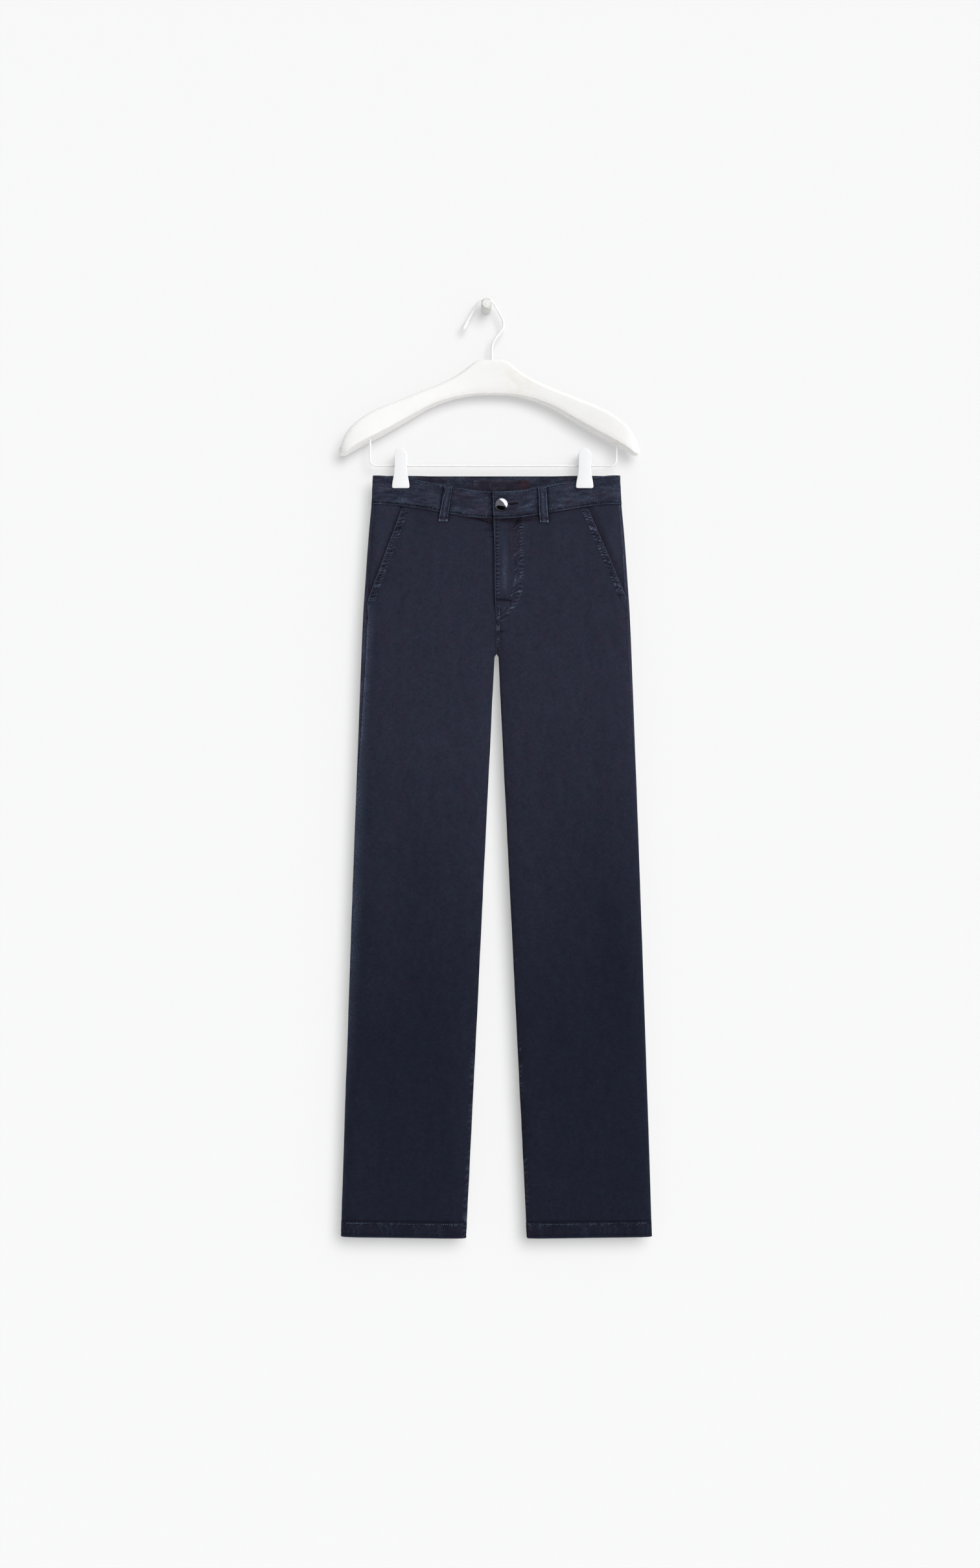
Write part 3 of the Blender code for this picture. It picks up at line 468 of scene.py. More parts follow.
def front_marks(side, x, drop):
    """x is the distance from the centre line on that side."""
    m = Marks(x + drop)
    signed = side * x
    below = drop - band_seam(x, -1)
    m.out -= 0.42 * (1.0 - soft(below / 2.6))
    # Painted shade under the band's lower edge, tinted reddish, and painted shade beside the front loops.
    m.dark += 0.55 * (1.0 - soft(below / 3.6)) + 0.16 * (1.0 - soft(below / 12.0))
    m.red += 0.25 * (1.0 - soft(below / 6.0)) * (0.5 + 0.5 * cloud(signed, drop, 16.0, 8.0, 31))
    m.dark += shade_beside_loops(signed, drop)
    # Slant pocket mouth: a raised double-stitched edge.
    p = POCKETS[side]
    lean = (p["end_x"] - p["top_x"]) / (p["end"] - p["top"])
    c = 1.0 / math.hypot(1.0, lean)
    d = (pocket_mouth(side, drop) - x) * c
    s = (drop - p["top"]) / c
    on = soft((s + 6.0) / 6.0) * soft((p["end"] + 4.0 - drop) / 7.0)
    m.out += on * (0.42 * soft((10.6 - d) / 1.4) * soft((d + 1.0) / 1.2) + 0.12 * ridge(d, 1.0, 1.0))
    m.out -= on * 0.20 * ridge(d, 11.4, 1.3)
    m.rope(s, d, on * window(d, 0.8, 10.6, 1.6), 4.9, 0.50, 40 + side, slope=0.22, wear=0.26, dark=0.56, red=0.25, even=0.35)
    grain = cloud(s, d, 1.9, 1.7, 143 + side) * on * window(d, 1.2, 10.0, 1.8)
    m.wear += 0.20 * np.maximum(grain, 0.0)
    m.dark += 0.34 * np.maximum(-grain, 0.0)
    m.rope(s, d, on * ridge(d, 2.7, 1.0), 4.9, 0.22, 40 + side, slope=0.22, wear=1.00, dark=0.25, even=0.35)
    m.rope(s, d, on * ridge(d, 8.5, 1.2), 4.9, 0.30, 40 + side, slope=0.22, wear=1.20, dark=0.40, even=0.35)
    m.row(d, 2.4, 0.10, 0.6)
    m.row(d, 8.5, 0.12, 0.6)
    m.wear += on * 0.55 * ridge(d, 0.3, 0.5) * (0.75 + 0.25 * ragged(s, 3.0, 47))
    # Painted shade just beyond the raised edge and, lightly, across it.
    m.dark += on * (0.12 * ridge(d, 11.6, 1.2) + 0.10 * window(d, 1.0, 10.0, 2.0))
    near_end = np.exp(-(((s - (p["end"] - p["top"]) / c) / 5.0) ** 2) - (d / 6.0) ** 2)
    m.wear += 0.16 * near_end
    # Side seam below the pocket.
    outer = read(SHAPE, "outer", drop)
    fold = read(SHAPE, "fold", drop)
    at = along_fold(outer - x, fold) - read(SIDE_SEAM, "wrap", drop)
    under = soft((drop - p["end"] - 3.0) / 6.0)
    m.out += under * 0.22 * ridge(at, 1.3, 1.2)
    m.wear += under * (0.16 if side < 0 else 0.06) * (ridge(at, 1.0, 1.2) + 0.45 * ridge(at, 3.5, 3.2)) * (0.6 + 0.4 * ragged(drop, 9.0, 51 + side))
    # Painted shade in the side seam.
    m.dark += under * soft((480.0 - drop) / 60.0) * (0.55 if side < 0 else 0.25) * ridge(at, 0.0, 0.7)
    if side < 0:  # the fold of this leg catches the light and is worn
        # Painted highlight, with some wear, along the seam and on the fold's rim lower down; painted shade near the
        # pocket's end.
        m.wear += under * soft((430.0 - drop) / 60.0) * (0.26 * ridge(at, 1.6, 1.7) + 0.15 * ridge(at, 3.5, 6.5)) * (0.75 + 0.25 * ragged(drop, 14.0, 57))
        rim = soft((drop - 385.0) / 60.0) * soft((1010.0 - drop) / 420.0)
        m.wear += rim * 0.245 * ridge(outer - x, 2.0, 8.5) * (0.80 + 0.20 * ragged(drop, 26.0, 58))
        m.dark += window(drop, 186.0, 222.0, 10.0) * 0.45 * ridge(at, 0.4, 1.4)
    # Fly and centre front seam.
    edge = read(FLY, "edge", drop)
    if side > 0:
        e = x - edge
        up = soft((216.0 - drop) / 26.0)
        m.out += up * (0.16 * ridge(e, 0.9, 1.1) + 0.22 * soft((24.0 - x) / 2.5) * soft((180.0 - drop) / 6.0))
        m.wear += up * 0.62 * ridge(e, 0.2, 0.45) * (0.75 + 0.25 * ragged(drop, 5.0, 61))
        m.rope(drop, x, up * window(e, 1.0, 8.5, 2.4) * window(drop, 66.0, 182.0, 8.0), 5.1, 0.42, 63, slope=0.10, wear=0.34, dark=0.60, even=0.6)
        strip = window(x, 2.0, 24.0, 7.0) * window(drop, 76.0, 176.0, 14.0)
        m.wear += strip * (0.01 + 0.05 * cloud(x, drop, 4.2, 46.0, 65) + 0.15 * ridge(x, 12.0, 3.4) * soft((drop - 96.0) / 50.0) * (1.0 + 0.5 * cloud(x, drop, 3.0, 7.0, 66)))
        curve = j_distance(x, drop)
        m.rope(drop + 0.6 * x, curve, window(curve, -4.0, 11.5, 4.0), 5.6, 0.36, 67, slope=0.2, wear=0.12, dark=0.36, red=0.26)
        m.rope(drop + 0.6 * x, curve, ridge(curve, 0.3, 2.2), 4.2, 0.40, 267, slope=0.5, wear=0.62, dark=0.60, even=0.3)
        m.rope(drop + 0.6 * x, curve, ridge(curve, 9.0, 2.6), 4.5, 0.46, 268, slope=-0.4, wear=0.80, dark=0.72, even=0.3)
        grain = cloud(x, drop, 1.7, 2.0, 147) * window(curve, -1.5, 11.0, 2.4) * window(drop, 66.0, 214.0, 6.0)
        m.wear += 0.13 * np.maximum(grain, 0.0)
        m.dark += 0.30 * np.maximum(-grain, 0.0)
        m.out -= 0.18 * ridge(curve, -0.0, 0.8) + 0.18 * ridge(curve, 9.1, 0.8)
        m.out -= 0.28 * soft((curve - 11.0) / 3.0)
        # Painted shade, tinted reddish, in the pulls below the band.
        pull = stroke(x, drop, -3.0, 66.2, 60.0, 65.0, -1.0, 2.6, 0.3)
        m.dark += 0.58 * pull + 0.30 * window(x, 15.0, 40.0, 4.0) * window(drop, 62.0, 86.0, 6.0) * (0.7 + 0.3 * cloud(x, drop, 4.0, 9.0, 341))
        m.red += 0.30 * pull + 0.20 * window(x, 15.0, 40.0, 5.0) * window(drop, 62.0, 130.0, 20.0) * (0.6 + 0.4 * cloud(x, drop, 3.0, 11.0, 343))
        # Painted shade in the crease at the foot of the curved stitching.
        m.dark += 0.85 * ridge(drop, 182.5 + 0.04 * x, 2.0) * window(x, -4.0, 26.0, 7.0)
        seam = window(x, -0.5, 5.6, 1.6) * window(drop, 186.0, 262.0, 8.0)
        m.out += 0.45 * seam
        m.rope(drop, x, seam, 3.3, 0.45, 71, slope=0.3, wear=0.55, dark=0.66)
        # Painted shade beside the raised seam below the fly.
        m.dark += 0.5 * ridge(x, 6.4, 0.9) * window(drop, 190.0, 260.0, 8.0)
        m.wear += 0.18 * ridge(x, 0.5, 0.7) * window(drop, 190.0, 262.0, 8.0)
        # The bar tack's dent, with painted shade in it.
        tack = np.exp(-(((x - 7.5) / 5.0) ** 2) - ((drop - 229.0) / 1.5) ** 2)
        m.dark += 0.8 * tack
        m.out -= 0.3 * tack
    else:
        e = x + edge  # distance from the flap's edge
        # Painted shadow of the flap's edge, painted shade in the pulls below the band, tinted reddish, and painted
        # shade along the centre seam below the fly.
        m.dark += 0.75 * ridge(e, 0.0, 3.4) * soft((206.0 - drop) / 24.0) * soft((drop - 58.0) / 10.0)
        m.dark += 0.35 * ridge(e, 4.0, 7.0) * window(drop, 62.0, 86.0, 7.0)
        m.dark += 0.50 * stroke(signed, drop, -46.0, 62.5, -3.0, 69.5, 0.8, 2.2, 0.5) + 0.62 * stroke(signed, drop, -30.0, 64.5, -3.0, 73.0, 0.6, 0.9, 0.5)
        m.dark += 0.50 * stroke(signed, drop, -12.5, 90.0, -3.0, 90.3, 0.0, 0.9, 0.4) + 0.35 * stroke(signed, drop, -20.0, 79.0, -4.0, 83.0, 0.0, 1.2, 0.5)
        m.red += 0.45 * stroke(signed, drop, -40.0, 63.0, -3.0, 71.0, 0.8, 2.6, 0.4)
        m.dark += 0.45 * ridge(x, 0.4, 1.1) * soft((drop - 200.0) / 12.0) * soft((264.0 - drop) / 4.0)
    inseam_marks(m, x, drop, 80 + side)
    hem_marks(m, signed, drop, 90 + 3 * side)
    for nx, nd in ((-116.0, 237.0), (-160.0, 1001.0), (168.0, 722.0), (149.0, 887.0), (-58.0, 402.0), (96.0, 300.0)):
        spot = np.exp(-(((signed - nx) / 0.9) ** 2) - ((drop - nd) / 0.8) ** 2)
        m.out += 0.25 * spot
        m.wear += 0.5 * spot
    return m


J_OUTER = ((36.6, 66.0), (36.8, 120.0), (36.9, 158.0), (35.6, 172.0), (31.0, 185.5), (23.4, 197.8), (14.0, 210.6), (5.6, 217.6))
J_INNER = ((27.4, 66.0), (27.6, 120.0), (27.6, 154.0), (26.2, 166.0), (22.4, 177.5), (16.0, 188.6), (8.0, 199.8), (1.5, 205.6))


def j_distance(x, drop):
    """Distance outwards from the inner row of the fly's curved stitching."""
    best = np.full(np.broadcast(x, drop).shape, 1e6)
    signed = np.full(best.shape, -50.0)
    for (x0, d0), (x1, d1) in zip(J_INNER, J_INNER[1:]):
        run = math.hypot(x1 - x0, d1 - d0)
        ax, ad = (x1 - x0) / run, (d1 - d0) / run
        t = np.clip((x - x0) * ax + (drop - d0) * ad, 0.0, run)
        gap = np.hypot(x - x0 - ax * t, drop - d0 - ad * t)
        side = np.sign((x - x0) * ad - (drop - d0) * ax)
        near = gap < best
        best = np.where(near, gap, best)
        signed = np.where(near, side * gap, signed)
    return signed


def back_marks(side, x, drop):
    m = Marks(x + drop)
    signed = side * x
    below = drop - BAND_SIDE
    m.out -= 0.42 * (1.0 - soft(below / 2.6))
    # Painted shade under the band's lower edge.
    m.dark += 0.5 * (1.0 - soft(below / 3.6))
    rise = soft((RISE + 6.0 - drop) / 14.0)
    m.out += 0.28 * window(x, -0.2, 5.5, 1.6) * rise
    # A row that only paints shade along the centre back seam, with no groove.
    m.row(x, 2.6, 0.0, 0.7)
    m.rope(drop, x, window(x, 0.6, 6.5, 1.6) * rise * soft((drop - 60.0) / 10.0), 4.2, 0.30, 101 + side, wear=0.30, dark=0.35)
    inseam_marks(m, x, drop, 104 + side)
    hem_marks(m, signed, drop, 110 + 3 * side)
    return m


def band_marks(side, x, v, face, ahead_edge):
    """v runs from 0 at the band's upper edge to 1 at its seam; ahead_edge is the distance from the fly's edge."""
    m = Marks(x + v)
    tall = np.where(face < 0, BAND_CENTRE + (BAND_SIDE - BAND_CENTRE) * np.clip(x / SHAPE["outer"][0], 0.0, 1.0), BAND_SIDE)
    top, low = v * tall, (1.0 - v) * tall
    signed = side * x + np.where(face > 0, 400.0, 0.0)
    m.out += 0.10 * ridge(top, 0.6, 1.2) + 0.34 * soft((7.0 - low) / 7.0) - 0.25 * ridge(low, 3.4, 0.9)
    m.rope(signed, top, window(top, 0.4, 4.6, 1.4), 3.3, 0.28, 120 + side, wear=0.30, dark=0.50)
    m.rope(signed, low, window(low, 0.5, 6.0, 2.0), 3.6, 0.34, 124 + side, slope=0.3, wear=0.30, dark=0.75, red=0.2)
    m.row(top, 1.9, 0.18, 0.7)
    m.row(low, 2.6, 0.26, 0.8)
    # Painted shade in the lower row's groove.
    m.dark += 0.22 * ridge(low, 2.8, 1.0)
    m.wear += 0.28 * ridge(top, 0.2, 0.8) + 0.14 * ridge(low, 0.5, 0.6) * (0.7 + 0.3 * ragged(signed, 6.0, 128))
    # The band's own soft ropes: long and low, and leaning up towards the loops, with painted shade in their low parts.
    lean = signed + 1.1 * top
    m.out += 0.30 * cloud(lean, top, 30.0, 6.5, 131) + 0.14 * cloud(lean, top, 9.0, 4.0, 132)
    m.wear += 0.10 + 0.08 * cloud(lean, top, 24.0, 5.5, 133) + 0.11 * cloud(lean, top, 11.0, 2.4, 134) + 0.06 * cloud(signed, top, 3.4, 1.8, 136)
    m.dark += 0.26 * np.clip(-cloud(lean, top, 30.0, 6.5, 131) - 0.15, 0.0, 1.0)
    m.red += 0.30 * np.clip(cloud(signed, top, 18.0, 7.0, 135) - 0.2, 0.0, 1.0)
    front = face < 0
    # Soft bumps and dents on the front: rubbed paler on the raised ones, painted shade in the dents.
    for cx, ct, run, tilt, high in ((-112.0, 26.0, 15.0, -0.35, 0.40), (-96.0, 31.0, 12.0, -0.30, -0.35), (-132.0, 33.0, 12.0, 0.25, 0.30),
                                    (-34.0, 15.0, 16.0, 0.10, -0.30), (-12.0, 27.0, 5.0, -1.2, 0.30), (48.0, 13.0, 14.0, -0.05, 0.35),
                                    (46.0, 25.0, 12.0, -0.10, 0.25), (112.0, 27.0, 16.0, 0.25, 0.35), (126.0, 21.0, 12.0, 0.35, -0.35), (92.0, 32.0, 10.0, 0.0, 0.25)):
        a = signed - cx
        g = np.where(front, np.exp(-((a / run) ** 2) - ((top - ct - tilt * a) / 2.3) ** 2), 0.0)
        m.out += high * g
        m.wear += 0.12 * g if high > 0 else 0.0
        m.dark += 0.28 * g if high < 0 else 0.0
    if side > 0:
        e = np.where(front, ahead_edge, 99.0)
        m.out += 0.25 * ridge(e, 0.8, 1.0)
        m.wear += 0.62 * ridge(e, 0.3, 0.5) + 0.05 * ridge(e, 3.0, 2.5)
        m.row(e, 2.4, 0.16, 0.7)
        # The buttonhole: a worn slot beyond the button, with painted shade in the slit and painted shade beside the
        # button.
        drop_here = waist_edge(x, -1) + top
        level = BUTTON_DROP - (FRONT_DIP - waist_edge(x, -1)) - drop_here
        slot = np.where(front, window(x, BUTTON_X, HOLE_END, 1.2), 0.0)
        lens = 0.5 + 1.2 * np.clip(1.0 - ((x - 24.0) / 11.0) ** 2, 0.0, 1.0)
        m.out += slot * (0.35 * ridge(np.abs(level), 2.4, 0.9) - 1.3 * ridge(level / lens, 0.0, 1.1))
        m.dark += slot * 0.85 * ridge(level / lens, 0.0, 1.2)
        m.red += slot * 0.9 * ridge(level / lens, 0.6, 0.9)
        lip = np.where(front, np.exp(-(((x - HOLE_END + 0.5) / 1.6) ** 2) - (level / 2.0) ** 2), 0.0)
        m.out += 0.3 * lip
        m.wear += 0.16 * lip + slot * 0.12 * ridge(np.abs(level), 2.1, 0.8)
        # Painted shade beside the button.
        m.dark += np.where(front, 0.45 * np.exp(-(((x - BUTTON_X - 1.0) / 13.0) ** 2) - ((level - 4.0) / 9.0) ** 2) * (x > BUTTON_X - 12), 0.0) * 0.5
    else:
        under = np.where(front, ahead_edge, 99.0)
        # Painted shadow of the flap's edge on this band.
        m.dark += 0.75 * ridge(under, 0.0, 2.6) + 0.25 * ridge(under, 3.0, 4.0)
    back = np.where(face > 0, x, 99.0)
    m.row(back, 1.0, 0.12, 0.8)
    # Painted shade beside the front loops.
    m.dark += np.where(front, shade_beside_loops(side * x, waist_edge(x, -1) + top), 0.0)
    return m


# ---------------------------------------------------------------- meshes
def shell(name, outside, inside, here, marks, within=None, sharp=52.0):
    """A closed thin wall: a fine outside sheet, an inside sheet on every other row and column, joined at the edges.
    here holds cloth coordinates in metres for the weave; within holds marks for the inside sheet."""
    rows, columns = outside.shape[:2]
    keep_r, keep_c = np.arange(0, rows, 2), np.arange(0, columns, 2)
    fine = np.arange(rows * columns).reshape(rows, columns)
    coarse = rows * columns + np.arange(len(keep_r) * len(keep_c)).reshape(len(keep_r), len(keep_c))
    quads = np.stack([fine[:-1, :-1], fine[:-1, 1:], fine[1:, 1:], fine[1:, :-1]], -1).reshape(-1, 4)
    inner = np.stack([coarse[:-1, :-1], coarse[1:, :-1], coarse[1:, 1:], coarse[:-1, 1:]], -1).reshape(-1, 4)

    def ring(g):
        return np.concatenate([g[0, :-1], g[:-1, -1], g[-1, :0:-1], g[:0:-1, 0]])

    f, k = ring(fine), ring(coarse)
    f0, f1, f2 = f[0::2], f[1::2], np.roll(f, -1)[1::2]
    k0, k1 = k, np.roll(k, -1)
    edge = np.concatenate([np.stack([f1, f0, k0], -1), np.stack([f1, k0, k1], -1), np.stack([f2, f1, k1], -1)])
    points = np.concatenate([outside.reshape(-1, 3), inside[::2, ::2].reshape(-1, 3)])
    v = [points[quads[:, i]] for i in range(3)]
    volume = np.einsum("ij,ij->i", v[0], np.cross(v[1], v[2])).sum()
    w = [points[quads[:, i]] for i in (0, 2, 3)]
    volume += np.einsum("ij,ij->i", w[0], np.cross(w[1], w[2])).sum()
    for block in (inner,):
        for pick in ((0, 1, 2), (0, 2, 3)):
            u = [points[block[:, i]] for i in pick]
            volume += np.einsum("ij,ij->i", u[0], np.cross(u[1], u[2])).sum()
    faces = [q.tolist() for q in (quads, inner, edge)]
    faces = faces[0] + faces[1] + faces[2]
    if volume < 0:
        faces = [q[::-1] for q in faces]
    mesh = bpy.data.meshes.new(name)
    mesh.from_pydata(points.tolist(), [], faces)
    mesh.validate()
    mesh.shade_smooth()
    mesh.set_sharp_from_angle(angle=math.radians(sharp))
    u, v = here
    place = np.stack([u, v, np.zeros_like(u)], -1)
    place = np.concatenate([place.reshape(-1, 3), place[::2, ::2].reshape(-1, 3) + np.array((0.0, 0.0, 0.4))])
    attribute(mesh, "cloth_at", place)
    for label, value in marks.items():
        value = np.broadcast_to(value, u.shape)
        behind = 0.35 * value if label == "tone" else np.broadcast_to((within or {}).get(label, 0.0), u.shape)
        attribute(mesh, label, np.concatenate([value.reshape(-1), behind[::2, ::2].reshape(-1)]))
    thing = bpy.data.objects.new(name, mesh)
    bpy.context.scene.collection.objects.link(thing)
    return thing


def attribute(mesh, label, value):
    value = np.ascontiguousarray(value, dtype=np.float32)
    if value.ndim == 2:
        mesh.attributes.new(label, "FLOAT_VECTOR", "POINT").data.foreach_set("vector", value.ravel())
    else:
        mesh.attributes.new(label, "FLOAT", "POINT").data.foreach_set("value", value)


def tone_of(x, drop, face):
    """0 where the cloth is greyer and more violet, 1 where it is a deeper blue."""
    t = 0.03 + 0.92 * soft((drop - 280.0) / 600.0)
    centre = inner_edge(drop) * 0.5 + read(SHAPE, "outer", drop) * 0.5
    across = (np.abs(x) - centre) / 95.0
    t = t + 0.10 * np.exp(-((across - np.where(x > 0, 0.25, 0.0)) / 0.55) ** 2) * soft((drop - 300.0) / 300.0)
    t = t + 0.10 * np.exp(-(((x + 165.0) / 34.0) ** 2) - ((drop - 430.0) / 150.0) ** 2)
    t = t + 0.12 * np.exp(-(((x - 175.0) / 40.0) ** 2) - ((drop - 640.0) / 210.0) ** 2)
    t = t - 0.10 * np.exp(-(((np.abs(x) - inner_edge(drop)) / 26.0) ** 2))
    t = t + 0.07 * cloud(x, drop, 46.0, 90.0, 141) + 0.05 * cloud(x, drop, 17.0, 26.0, 142)
    return np.clip(t, 0.0, 1.0)


def labels(m, tone):
    return {"wear": np.clip(m.wear, 0.0, 1.2), "dark": np.clip(m.dark, 0.0, 1.0), "red": np.clip(m.red, 0.0, 1.0), "tone": tone}


def steps(*parts):
    """Positions from pairs of (end, spacing), each stretch filled evenly; an odd count."""
    start = parts[0]
    found = [start]
    for end, space in parts[1:]:
        n = max(1, int(round((end - found[-1]) / (space * COARSE))))
        found += list(np.linspace(found[-1], end, n + 1)[1:])
    if len(found) % 2 == 0:
        found.insert(1, 0.5 * (found[0] + found[1]))
    return np.array(found)


cloth_pieces = {}
WIDE = 190.0


def front_grid(side):
    share = steps(0.0, (3.0, 0.6), (16.0, 1.05), (WIDE - 46.0, 2.6), (WIDE - 4.0, 1.1), (WIDE, 0.6))[None, :] / WIDE
    rows = steps(42.0 + GAP, (60.0, 1.2), (190.0, 1.15), (254.0, 1.5), (270.0, 0.9), (820.0, 3.1), (1086.0, 2.0), (1113.5, 0.95), (OUTSEAM, 0.5))[:, None]

    def lay(x):
        return rows + (band_seam(x, -1) + GAP - rows[0]) * (1.0 - soft((rows - rows[0]) / 150.0))

    def hem(drop):
        return drop + HEM_SLOPE * share * soft((drop - 1000.0) / 100.0)

    drop = hem(lay(185.0 * (1.0 - share)))
    for turn in range(5):
        outer, fold = read(SHAPE, "outer", drop), read(SHAPE, "fold", drop)
        seam = read(SIDE_SEAM, "wrap", drop) + 0.5 * GAP
        slant = along_fold(outer - pocket_mouth(side, drop), fold)
        start = np.maximum(seam, np.where(pocket_mouth(side, drop) < outer, slant, 0.0))
        edge, under = read(FLY, "edge", drop), read(FLY, "under", drop)
        if side > 0:
            inner = inner_edge(drop) - 0.5 * GAP * soft((216.0 - drop) / 20.0) + edge
        else:
            inner = inner_edge(drop) + 0.5 * GAP * soft((216.0 - drop) / 20.0) - edge - under
        keep = 0.5 * GAP * (1.0 - fork(drop, -1))
        x, at = panel_x(share, start, drop, -1, inner, keep)
        drop = hem(lay(x)) - (corner(x, drop) if turn > 1 else 0.0)
    return x, drop, at, edge


for side, tag in ((-1, "r"), (1, "l")):
    x, drop, at, edge = front_grid(side)
    m = front_marks(side, x, drop)
    base = draped(side * x, drop, -1)
    if side < 0:
        base = base - (CLOTH + LAYER) * soft((-edge + 9.0 - x) / 7.0) * read(FLY, "sink", drop)
    outside = surface(side * x, drop, -1, base + m.out)
    inside = surface(side * x, drop, -1, base - CLOTH)
    name = f"front_{tag}"
    cloth_pieces[name] = (
        shell(name, outside, inside, (side * (0.2 - at * MM), drop * MM), labels(m, tone_of(side * x, drop, -1))),
        (f"front_panel_{tag}",),
        outside,
    )

    share = steps(0.0, (9.0, 0.8), (WIDE - 20.0, 3.2), (WIDE - 4.0, 1.6), (WIDE, 0.6))[None, :] / WIDE
    rows = steps(42.0 + GAP, (60.0, 1.8), (254.0, 3.0), (270.0, 0.9), (820.0, 4.2), (1086.0, 2.2), (1113.5, 1.1), (OUTSEAM, 0.5))[:, None]
    drop = rows + HEM_SLOPE * share * soft((rows - 1000.0) / 100.0)
    start = -(read(SIDE_SEAM, "wrap", drop) - 0.5 * GAP)
    keep = 0.5 * GAP * (1.0 - fork(drop, 1))
    x, at = panel_x(share, start, drop, 1, inner_edge(drop), keep)
    drop = drop - corner(x, drop)
    face = np.where(at < 0.0, -1, 1)
    wrapped = np.where(face < 0, np.maximum(drop, band_seam(x, -1) + GAP), drop)
    drop = np.where(rows < 60.0, wrapped, drop)
    m = back_marks(side, x, drop)
    rim = soft(-at / 1.0) * soft((drop - 60.0) / 40.0) * soft((520.0 - drop) / 120.0)
    # On the strip that wraps round the fold: paler with wear and painted highlight, painted shade in the side seam and
    # in spots near the pocket's end, and reddish.
    m.wear += rim * (0.26 if side < 0 else 0.14) * (0.7 + 0.3 * ragged(drop, 11.0, 151 + side))
    m.dark += rim * (0.65 if side < 0 else 0.30) * ridge(at + read(SIDE_SEAM, "wrap", drop), 0.0, 0.9)
    m.red += rim * 0.30 * np.clip(0.4 + cloud(at, drop, 4.0, 9.0, 153), 0.0, 1.0)
    m.dark += rim * window(drop, 184.0, 232.0, 14.0) * 0.55 * np.clip(ragged(drop, 3.2, 157) + 0.15, 0.0, 1.0)
    fade = soft((at + 2.0) / 6.0)
    base = draped(side * x, drop, 1) * fade
    m.out = m.out * fade
    outside = surface(side * x, drop, face, base + m.out)
    inside = surface(side * x, drop, face, base - CLOTH)
    name = f"back_{tag}"
    cloth_pieces[name] = (
        shell(name, outside, inside, (side * (0.6 + at * MM), drop * MM), labels(m, tone_of(side * x, drop, 1))),
        (f"back_panel_{tag}",),
        outside,
    )

    # Pocket facing, with the mouth's shade along its sunk part.
    along = steps(0.0, (40.0, 1.2))[None, :] / 40.0
    level = steps(0.0, (139.0, 1.6))[:, None]
    drop = BAND_SIDE + GAP + level + 0.0 * along
    for _ in range(4):
        outer, fold = read(SHAPE, "outer", drop), read(SHAPE, "fold", drop)
        low = read(SIDE_SEAM, "wrap", drop) + 0.5 * GAP
        slant = along_fold(outer - np.minimum(pocket_mouth(side, drop), outer), fold)
        high = np.maximum(slant, low) + POCKET_UNDER
        at = low + along * (high - low)
        x = outer - fold_x(at, drop, fold)
        top = band_seam(x, -1) + GAP
        drop = top + level * (POCKETS[side]["end"] + 1.5 - top) / level[-1]
    run = np.clip(slant - low - 0.4, 1.6, 8.5)
    sunk = soft((at - slant + 0.3 * run) / run + 1.0)
    m = Marks(x)
    below = drop - band_seam(x, -1)
    m.out -= 0.42 * (1.0 - soft(below / 2.6)) * (1.0 - sunk)
    # Painted shade under the band, in the pocket's mouth (tinted reddish there) and along a line near the side seam.
    m.dark += 0.45 * (1.0 - soft(below / 3.6)) + 0.80 * soft((at - slant + 2.2) / 2.6) + 0.22 * soft((at - slant + 9.0) / 9.0)
    m.wear += 0.50 * ridge(at, low + 0.6, 1.1) * (0.6 + 0.4 * ragged(drop, 7.0, 161 + side)) * (1.0 if side > 0 else 0.4)
    m.wear += 0.025 * window(at, low, slant, 8.0) * (1.0 + cloud(x, drop, 8.0, 18.0, 163))
    m.dark += 0.45 * ridge(at, low + 2.9, 1.0) * (0.6 + 0.4 * ragged(drop, 3.4, 167 + side))
    m.red += 0.14 * soft((at - slant + 9.0) / 7.0)
    base = -(CLOTH + 0.9) * sunk
    outside = surface(side * x, drop, -1, base + m.out)
    inside = surface(side * x, drop, -1, base - FACING)
    name = f"facing_{tag}"
    cloth_pieces[name] = (
        shell(name, outside, inside, (side * (0.9 - at * MM), drop * MM), labels(m, tone_of(side * x, drop, -1))),
        (f"pocket_facing_{tag}",),
        outside,
    )


def band_grid(side):
    v = steps(0.0, (5.0, 0.85), (34.0, 1.15), (41.2, 0.9), (42.0, 0.4))[:, None] / 42.0
    ahead = SHAPE["outer"][0] - (-6.0 + GAP if side > 0 else -30.0)
    girth = steps(-ahead, (-ahead + 3.0, 0.7), (-14.0, 1.15), (14.0, 0.8), (SHAPE["outer"][0] + 3.0, 3.0))[None, :]
    face = np.where(girth < 0.0, -1, 1)
    drop = 42.0 * v + 0.0 * girth
    for _ in range(4):
        outer, fold = read(SHAPE, "outer", drop), read(SHAPE, "fold", drop)
        reach = along_fold(outer - 0.5 * GAP, fold) / girth.max()
        inside = fold_x(np.where(girth > 0.0, girth * reach, -girth), drop, fold)
        x = outer - inside
        x = np.where(face > 0, np.maximum(x, 0.5 * GAP), x)
        edge = read(FLY, "edge", drop) if side > 0 else np.full_like(drop, -30.0)
        end = (outer - fold_x(ahead, drop, fold)) - edge
        x = np.where(face < 0, x - end * soft((30.0 - x) / 30.0 if side > 0 else (6.0 - x) / 36.0), x)
        drop = waist_edge(x, face) + v * (band_seam(x, face) - waist_edge(x, face))
    return x, drop, face + 0.0 * x, v + 0.0 * x, girth + 0.0 * x


